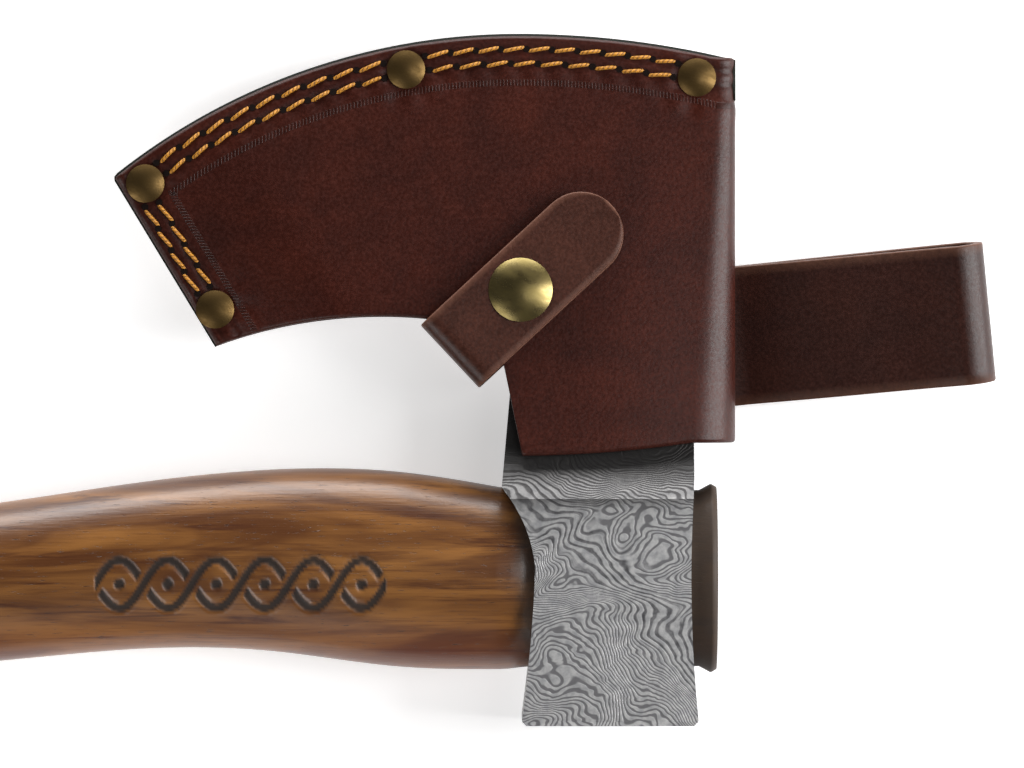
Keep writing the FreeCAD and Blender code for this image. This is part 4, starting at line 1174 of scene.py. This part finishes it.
    def panel(self, spot: tuple, lean: float, side: Side) -> tuple:
        """Where a strip lies on a panel, and the directions it follows.

        Args:
            spot: The place in millimetres.
            lean: Lean of the strip in degrees.
            side: Which panel.

        Returns:
            The place on the panel, and unit vectors along the strip, across it and off the panel.
        """
        tilt, lean = math.radians(self.tilt), math.radians(lean)
        up = np.array([0.0, math.cos(tilt), -side.value * math.sin(tilt)])
        normal = np.array([0.0, math.sin(tilt), side.value * math.cos(tilt)])
        right = np.array([1.0, 0.0, 0.0])
        way = math.cos(lean) * right + math.sin(lean) * up
        across = -math.sin(lean) * right + math.cos(lean) * up
        half = float(self.rim + self.slope * (self.rim_y - spot[1]))
        return np.array([*spot, MID + side.value * half]), way, across, normal

    def shell(self) -> bpy.types.Object:
        """Make the leather as one folded sheet with rounded edges.

        Returns:
            The piece.
        """
        low = np.vstack([
            arc(self.foot, self.lip, self.curves[0], "left", 60),
            arc(self.lip, self.throat, self.curves[1], "left", 26)[1:],
            np.linspace(self.throat, self.mouth, 22)[1:],
            arc(self.mouth, (self.fold_x, self.mouth_right), self.curves[2], "right", 56)[1:],
        ])
        turn_low = self.fold_x - float(self.half(np.array(self.fold_x), np.array(self.mouth_right)))
        low = spaced(low[low[:, 0] < turn_low], 0.5)
        high = self.top_path(0.0, 0.0)
        high = spaced(high[high[:, 0] < self.fold_x - self.rim], 0.5)
        at = np.linspace(0, 1, self.columns)
        low_run = np.linspace(0, 1, len(low))
        corner_share = low_run[np.argmin(np.hypot(*(low - self.mouth).T))]
        high_x = np.interp(at, [0, corner_share, 1], [high[0, 0], self.mouth[0] + 4.0, high[-1, 0]])
        low = np.column_stack([np.interp(at, low_run, low[:, i]) for i in (0, 1)])
        high = np.column_stack([high_x, np.interp(high_x, high[:, 0], high[:, 1])])
        round_by = self.rounding
        steps = np.array([0.0, 0.06, 0.2, 0.42, 0.7, 1.0]) * round_by
        length = np.linalg.norm(high - low, axis=1)
        inner = np.linspace(0, 1, self.rows)[1:-1]
        rows = [
            np.concatenate([steps, round_by + (run - 2 * round_by) * inner, run - steps[::-1]]) / run
            for run in length
        ]
        share = np.array(rows).T
        x = low[:, 0] + share * (high[:, 0] - low[:, 0])
        y = low[:, 1] + share * (high[:, 1] - low[:, 1])
        edge = np.minimum(share, 1 - share) * length
        heel = np.maximum(self.from_heel(x, y), 0)
        edge = np.minimum(edge, heel)
        near = np.maximum(round_by - edge, 0)
        drop = round_by - np.sqrt(np.maximum(round_by ** 2 - near ** 2, 0))
        depth, shade = self.dent(x, y)
        x[:, -1] = self.fold_x - self.half(x[:, -1], y[:, -1])
        half = self.half(x, y)
        outer = half - depth - drop
        thin = half - self.leather + 0.3 * drop
        top, beside = self.from_top(x, y), self.from_heel(x, y) + 1.2
        marks = {
            # Painted shade of the stitch grooves.
            "dent": shade,
            "raw": smooth(round_by, 0.2, edge) * 0.5,
            "inset": np.minimum(top, beside),
            "along": np.where(beside < top, y * 1.17, x),
        }
        turns = np.linspace(math.pi / 2, -math.pi / 2, 25)[1:-1]
        sheets = {}
        for name, radius in (("outer", outer), ("inner", thin)):
            front = np.stack([x, y, MID + radius], axis=-1)
            back = np.stack([x, y, MID - radius], axis=-1)[:, ::-1]
            r = radius[:, -1:]
            fold = np.stack([
                x[:, -1:] + r * np.cos(turns), np.repeat(y[:, -1:], len(turns), 1), MID + r * np.sin(turns),
            ], axis=-1)
            sheets[name] = np.concatenate([front, fold, back], axis=1)
        across = {}
        for key, value in marks.items():
            middle = np.repeat(value[:, -1:], len(turns), 1)
            across[key] = np.concatenate([value, middle, value[:, ::-1]], axis=1)
        count, wide = sheets["outer"].shape[:2]
        points = np.concatenate([sheets["outer"].reshape(-1, 3), sheets["inner"].reshape(-1, 3)])
        half_way = count * wide
        faces = grid_faces(count, wide, flip=True) + grid_faces(count, wide, half_way)
        loop = list(range(wide))
        loop += [row * wide + wide - 1 for row in range(1, count)]
        loop += [(count - 1) * wide + i for i in range(wide - 2, -1, -1)]
        loop += [row * wide for row in range(count - 2, 0, -1)]
        for a, b in zip(loop, loop[1:] + loop[:1]):
            faces.append((a, b, half_way + b, half_way + a))
        values = {key: np.concatenate([v.ravel(), v.ravel()]) for key, v in across.items()}
        return new_piece("sheath_shell_leather", points, faces, values)

    def welt(self) -> bpy.types.Object:
        """Make the dark strip between the panels.

        Returns:
            The piece.
        """
        top, heel, inside = self.welt_edges
        at = np.linspace(0, 1, 160)
        edges = []
        for path in (spaced(self.seam_path(top, heel), 1.5), spaced(self.seam_path(inside, inside), 1.5)):
            run = np.linspace(0, 1, len(path))
            edges.append(np.column_stack([np.interp(at, run, path[:, i]) for i in (0, 1)]))
        a, b = edges
        low, high = MID - self.welt_half, MID + self.welt_half
        levels = ((b, low), (a, low + 0.5), (a, high - 0.5), (b, high))
        rings = np.stack([np.column_stack([edge, np.full(len(at), z)]) for edge, z in levels], axis=1)
        return closed_tube("seam_welt_strip", rings)

    def runs(self, row: int) -> list[np.ndarray]:
        """The stretches of a stitch row between rivets.

        Args:
            row: Its number.

        Returns:
            Points of each stretch.
        """
        path = spaced(self.seam_path(self.rows_top[row], self.rows_heel[row]), 0.1)
        away = np.min([np.hypot(path[:, 0] - cx, path[:, 1] - cy) for cx, cy in self.rivets], axis=0)
        past = (path[:, 0] > self.rivets[2][0]) | (self.from_heel(path[:, 0], path[:, 1]) < -1)
        below = path[:, 1] < self.rivets[3][1]
        keep = (away > self.margin) & ~past & ~(below & (path[:, 0] < -60))
        edges = np.flatnonzero(np.diff(keep.astype(int)))
        parts = np.split(np.arange(len(path)), edges + 1)
        return [path[part] for part in parts if keep[part[0]] and len(part) > 40]

    def frame_at(self, x: float, y: float, along: np.ndarray, side: Side) -> tuple:
        """A stitch's place, direction and normal on the leather.

        Args:
            x, y: The place.
            along: Direction in the plane of the panel.
            side: Which panel.

        Returns:
            Place in millimetres, direction and normal.
        """
        step = 0.05
        xs = np.array([x, x + step, x])
        ys = np.array([y, y, y + step])
        height = MID + side.value * self.half(xs, ys)
        across = Vector((step, 0, height[1] - height[0]))
        up = Vector((0, step, height[2] - height[0]))
        normal = across.cross(up).normalized() * side.value
        depth, _ = self.dent(xs[:1], ys[:1])
        place = Vector((x, y, height[0])) - normal * float(depth[0])
        way = (across * along[0] + up * along[1]).normalized()
        return place, way, normal

    def stitches(self) -> tuple[list, list]:
        """Where every stitch is, and every disc of painted shade.

        Returns:
            The stitches, and the discs of painted shade.
        """
        made, hole_shades = [], []
        c, s = math.cos(math.radians(self.slant)), math.sin(math.radians(self.slant))
        for row in (0, 1):
            for path in self.runs(row):
                length = 0.1 * (len(path) - 1)
                count = max(1, round(length / self.pitch))
                for side in Side:
                    for number in range(count + 1):
                        at = path[min(len(path) - 1, round(number * (len(path) - 1) / count))]
                        hole_shades.append(self.frame_at(at[0], at[1], np.array([1.0, 0.0]), side))
                    for number in range(count):
                        i = round((number + 0.5) * (len(path) - 1) / count)
                        way = path[i + 1] - path[i - 1]
                        way = way / np.linalg.norm(way)
                        turned = np.array([way[0] * c - way[1] * s, way[0] * s + way[1] * c])
                        made.append(self.frame_at(path[i][0], path[i][1], turned, side))
        return made, hole_shades

    def sew(self) -> None:
        """Set the stitches on the leather, and a dark disc of painted shade at each stitch hole."""
        made, hole_shades = self.stitches()
        names = ("Half length", "Rise", "Sink", "Radius")
        tree = Repeat("stitches", {n: v * MM for n, v in zip(names, (*self.stitch, self.thread))})
        add, math_node = tree.graph.add, tree.graph.sum
        half, rise, sink, radius = (tree.inputs[n] for n in names)
        ends = [
            tree.vector(math_node("MULTIPLY", half, sign), 0.0, math_node("MULTIPLY", sink, -1.0))
            for sign in (-1.0, 1.0)
        ]
        line = add("GeometryNodeCurveQuadraticBezier", {
            "Resolution": 12, "Start": ends[0], "Middle": tree.vector(z=rise), "End": ends[1],
        })
        ring = add("GeometryNodeCurvePrimitiveCircle", {"Resolution": 8, "Radius": radius})
        tube = add("GeometryNodeCurveToMesh", {
            "Curve": tree.named(line.outputs[0], "along"),
            "Profile Curve": tree.named(ring.outputs[0], "around"),
            "Fill Caps": True,
        })
        thread = tree.set_on(seeds("seam_stitches", made), tube.outputs[0], THREAD.make())
        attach(thread, "axe")
        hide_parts("seam_thread_outer", "seam_thread_inner")
        # Painted shade: a dark disc just over the leather at each stitch hole.
        tree = Repeat("hole_shades", {"Radius": self.hole[0] * MM, "Lift": self.hole[1] * MM})
        inputs = {"Vertices": 10, "Radius": tree.inputs["Radius"]}
        disc = tree.graph.add("GeometryNodeMeshCircle", inputs, fill_type="NGON")
        inputs = {"Geometry": disc.outputs[0], "Translation": tree.vector(z=tree.inputs["Lift"])}
        lifted = tree.graph.add("GeometryNodeTransform", inputs)
        shade_dots = tree.set_on(seeds("stitch_hole_shades", hole_shades), lifted.outputs[0], HOLE_SHADE.make())
        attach(shade_dots, "axe")

    def dress(self) -> None:
        """Build the sheath's pieces and finish them."""
        shell = self.shell()
        dress(shell, SHEATH_LEATHER.make(), "axe")
        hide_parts("sheath_shell")
        welt = self.welt()
        dress(welt, WELT_LEATHER.make(), "axe")
        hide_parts("seam_welt")
        self.sew()
        brass = ANTIQUE_BRASS.make()
        for node in ("seam_rivet_caps", "seam_rivet_posts"):
            dress(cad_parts[node], brass, "axe")


@dataclass
class Strap:
    """The retaining strap, one strip from its rivets behind the sheath to its tip.

    Attributes:
        snap: Centre of the snap.
        lean: Lean of the strap in degrees.
        width, thick: Section of the strip.
        edge: Radius of its edges.
        corner: Length of the curve on both sides of the turn's straight part.
        gap: Sheath to the flap.
        reach: Snap to the turn.
        tip: Snap to the tip.
        root: Snap to the end behind the sheath.
        bend_start, bend_end: Depths under the turn between which the strap bends; not used.
        bend_along: How far the bend shifts along the strap; not used.
    """

    snap: tuple = (-21.5, 67.4)
    lean: float = 43.0
    width: float = 20.0
    thick: float = 2.2
    edge: float = 0.45
    corner: float = 3.4
    gap: float = 2.4
    reach: float = 21.6
    tip: float = 29.3
    root: float = 6.4
    bend_start: float = 6.5
    bend_end: float = 1.5
    bend_along: float = 1.5

    def at(self, sheath: Sheath, along: np.ndarray, level: float, side: Side) -> tuple:
        """Points over a panel on the strap's line.

        Args:
            sheath: The sheath.
            along: Distances from the snap.
            level: Height over the panel.
            side: Which panel.

        Returns:
            The points, and the direction across the strap.
        """
        origin, way, across, normal = sheath.panel(self.snap, self.lean, side)
        return origin + np.outer(along, way) + level * normal, across

    def build(self, sheath: Sheath) -> bpy.types.Object:
        """Make the strip.

        Args:
            sheath: The sheath it wraps round.

        Returns:
            The piece.
        """
        half, over = self.width / 2, self.gap + self.thick / 2
        turn = -self.reach + self.corner
        ends = half * (1 - np.cos(np.linspace(0, math.pi / 2, 12)))
        back_run = np.concatenate([self.root - ends[1:], np.linspace(self.root - half, turn, 14)[1:]])
        front_run = np.concatenate([np.linspace(turn, self.tip - half, 24), self.tip - ends[::-1][1:-1]])
        back, across_back = self.at(sheath, back_run, self.thick / 2 + CLEAR, Side.BACK)
        front, across_front = self.at(sheath, front_run, over, Side.FRONT)
        low = self.at(sheath, np.array([-self.reach]), self.thick / 2, Side.BACK)[0][0]
        high = self.at(sheath, np.array([-self.reach]), over, Side.FRONT)[0][0]
        rise = (high - low) / np.linalg.norm(high - low) * self.corner
        t = np.linspace(0, 1, 9)[1:-1, None]
        bends = [
            (1 - t) ** 2 * start + 2 * t * (1 - t) * knee + t ** 2 * end
            for start, knee, end in ((back[-1], low, low + rise), (high - rise, high, front[0]))
        ]
        path = np.vstack([back, bends[0], np.linspace(low + rise, high - rise, 8), bends[1], front])
        share = np.linspace(0, 1, len(path))[:, None]
        sides = across_back * (1 - share) + across_front * share
        sides /= np.linalg.norm(sides, axis=1)[:, None]
        between = np.zeros(len(path) - len(back_run) - len(front_run))
        past = np.concatenate([back_run - (self.root - half), between, front_run - (self.tip - half)])
        halves = np.sqrt(np.maximum(half ** 2 - np.maximum(past, 0.0) ** 2, BLUNT))
        return strip("retaining_strap", path, sides, halves, self.thick, self.edge)

    def dress(self, sheath: Sheath) -> None:
        """Build the strap, and finish it and its snap.

        Args:
            sheath: The sheath it wraps round.
        """
        piece = self.build(sheath)
        piece.data.materials.append(STRAP_LEATHER.make())
        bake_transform(piece)
        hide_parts("strap_root", "strap_flap")
        brass, snap, spring = ANTIQUE_BRASS.make(), SNAP_BRASS.make(), SPRING_STEEL.make()
        for node in ("strap_rivet_caps", "strap_rivet_posts"):
            dress(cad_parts[node], brass, "axe")
        bodies = {"snap_cap": "strap", "snap_socket": "strap", "snap_stud": "axe", "snap_eyelet": "axe"}
        for node, body in bodies.items():
            dress(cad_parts[node], snap, body)
        dress(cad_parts["snap_spring"], spring, "strap")


@dataclass
class BeltLoop:
    """The folded strip behind the sheath that a belt goes through.

    Attributes:
        origin: Where its line leaves the fold.
        lean: Its lean in degrees.
        width, thick: Section of the strip.
        edge: Radius of its edges.
        root, reach: Ends of the loop before and after the origin.
        rise: How far it opens.
        part: Where its layers part.
        wave: Height of the slack wave near its end.
        rivets: Its rivets' solids.
    """

    origin: tuple = (29.2, 57.0)
    lean: float = 6.0
    width: float = 33.0
    thick: float = 2.2
    edge: float = 0.35
    root: float = -34.0
    reach: float = 60.8
    rise: float = 9.0
    part: float = 2.0
    wave: float = 0.9
    rivets: tuple = ("belt_loop_rivet_caps", "belt_loop_rivet_posts")

    def build(self, sheath: Sheath) -> bpy.types.Object:
        """Make the loop as one strip.

        Args:
            sheath: The sheath it is riveted to.

        Returns:
            The piece.
        """
        half = self.thick / 2
        outer = (2 * self.thick + self.rise) / 2 - half
        middle = (self.rise - 2 * self.thick) / 2
        turn = self.reach - outer - half
        low = np.column_stack([np.linspace(self.root, turn, 40), np.full(40, -self.thick - half - CLEAR)])
        angles = np.linspace(-math.pi / 2, math.pi / 2, 22)[1:-1]
        end = np.column_stack([turn + outer * np.cos(angles), middle + outer * np.sin(angles)])
        s = np.linspace(turn, self.part, 44)
        lift = (s - self.part) / (turn - self.part)
        high = np.column_stack([s, (self.rise - half) * lift - half * (1 - lift)])
        high[:, 1] += self.wave * np.sin(lift * math.pi * 2) * lift
        flat = np.column_stack([np.linspace(self.part, self.root, 18)[1:], np.full(17, -half + CLEAR)])
        line = np.vstack([low, end, high, flat])
        start, way, across, normal = sheath.panel(self.origin, self.lean, Side.BACK)
        path = start + line[:, :1] * way - line[:, 1:] * normal
        sides = np.tile(across, (len(path), 1))
        halves = np.full(len(path), self.width / 2)
        return strip("belt_loop_strip", path, sides, halves, self.thick, self.edge)

    def dress(self, sheath: Sheath) -> None:
        """Build the loop, and finish it and its rivets.

        Args:
            sheath: The sheath it is riveted to.
        """
        piece = self.build(sheath)
        dress(piece, LOOP_LEATHER.make(), "axe")
        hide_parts("belt_loop")
        brass = ANTIQUE_BRASS.make()
        for node in self.rivets:
            dress(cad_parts[node], brass, "axe")


# ---- studio -------------------------------------------------------------------------------


@dataclass
class Studio:
    """Floor, soft lights and the camera straight above.

    Attributes:
        look_at: Middle of the view in metres.
        view_width: Width of what the camera sees there.
        lens, sensor: The camera's lens and sensor in millimetres.
        lights: Name, place, size and power of each soft light.
        floor_half, floor_z: Half width and height of the floor in millimetres.
        paper: Its colour.
        glow: How much light it gives off.
        ambient: Strength of the white surroundings.
    """

    look_at: tuple = (-0.0235, 0.0458, 0.022)
    view_width: float = 0.2406
    lens: float = 200.0
    sensor: float = 36.0
    lights: tuple = (
        ("top_softbox", (-0.05, 1.1, 0.22), (1.5, 0.4), 19.0),
        ("right_softbox", (0.95, 0.1, 0.42), (0.5, 1.1), 15.0),
        ("high_softbox", (0.5, 0.12, 0.95), (0.25, 0.7), 2.0),
        ("fill_softbox", (-0.7, -0.75, 0.6), (0.9, 0.7), 7.0),
    )
    floor_half: float = 3000.0
    floor_z: float = -0.3
    paper: Colour = (0.9, 0.9, 0.9, 1.0)
    glow: float = 0.55
    ambient: float = 0.07

    def build(self) -> None:
        """Make the floor, the lights, the world and the camera."""
        wide, z = self.floor_half, self.floor_z
        corners = [(-wide, -wide, z), (wide, -wide, z), (wide, wide, z), (-wide, wide, z)]
        floor = new_piece("studio_floor", np.array(corners), [(0, 1, 2, 3)])
        floor.data.materials.append(Shader("paper").finish(
            Base_Color=self.paper, Roughness=0.9, Emission_Color=self.paper, Emission_Strength=self.glow,
        ))
        for name, place, (across, deep), power in self.lights:
            data = bpy.data.lights.new(name, "AREA")
            data.shape, data.size, data.size_y, data.energy = "RECTANGLE", across, deep, power
            lamp = bpy.data.objects.new(name, data)
            lamp.location = place
            lamp.rotation_euler = (Vector(self.look_at) - Vector(place)).to_track_quat("-Z", "Y").to_euler()
            bpy.context.scene.collection.objects.link(lamp)
        world = bpy.data.worlds.new("studio")
        world.use_nodes = True
        background = world.node_tree.nodes["Background"].inputs
        background[0].default_value = (1.0, 1.0, 1.0, 1.0)
        background[1].default_value = self.ambient
        bpy.context.scene.world = world
        bpy.context.scene.view_settings.view_transform = "Standard"
        data = bpy.data.cameras.new("above")
        data.lens, data.sensor_width = self.lens, self.sensor
        camera = bpy.data.objects.new("above", data)
        distance = self.view_width * self.lens / self.sensor
        camera.location = (self.look_at[0], self.look_at[1], self.look_at[2] + distance)
        bpy.context.scene.collection.objects.link(camera)
        bpy.context.scene.camera = camera


def main() -> None:
    """Build the whole scene."""
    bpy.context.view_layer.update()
    Haft().dress()
    Head().dress()
    sheath = Sheath()
    sheath.dress()
    Strap().dress(sheath)
    BeltLoop().dress(sheath)
    Studio().build()
    log.info("scene ready")


if __name__ == "__main__":
    main()
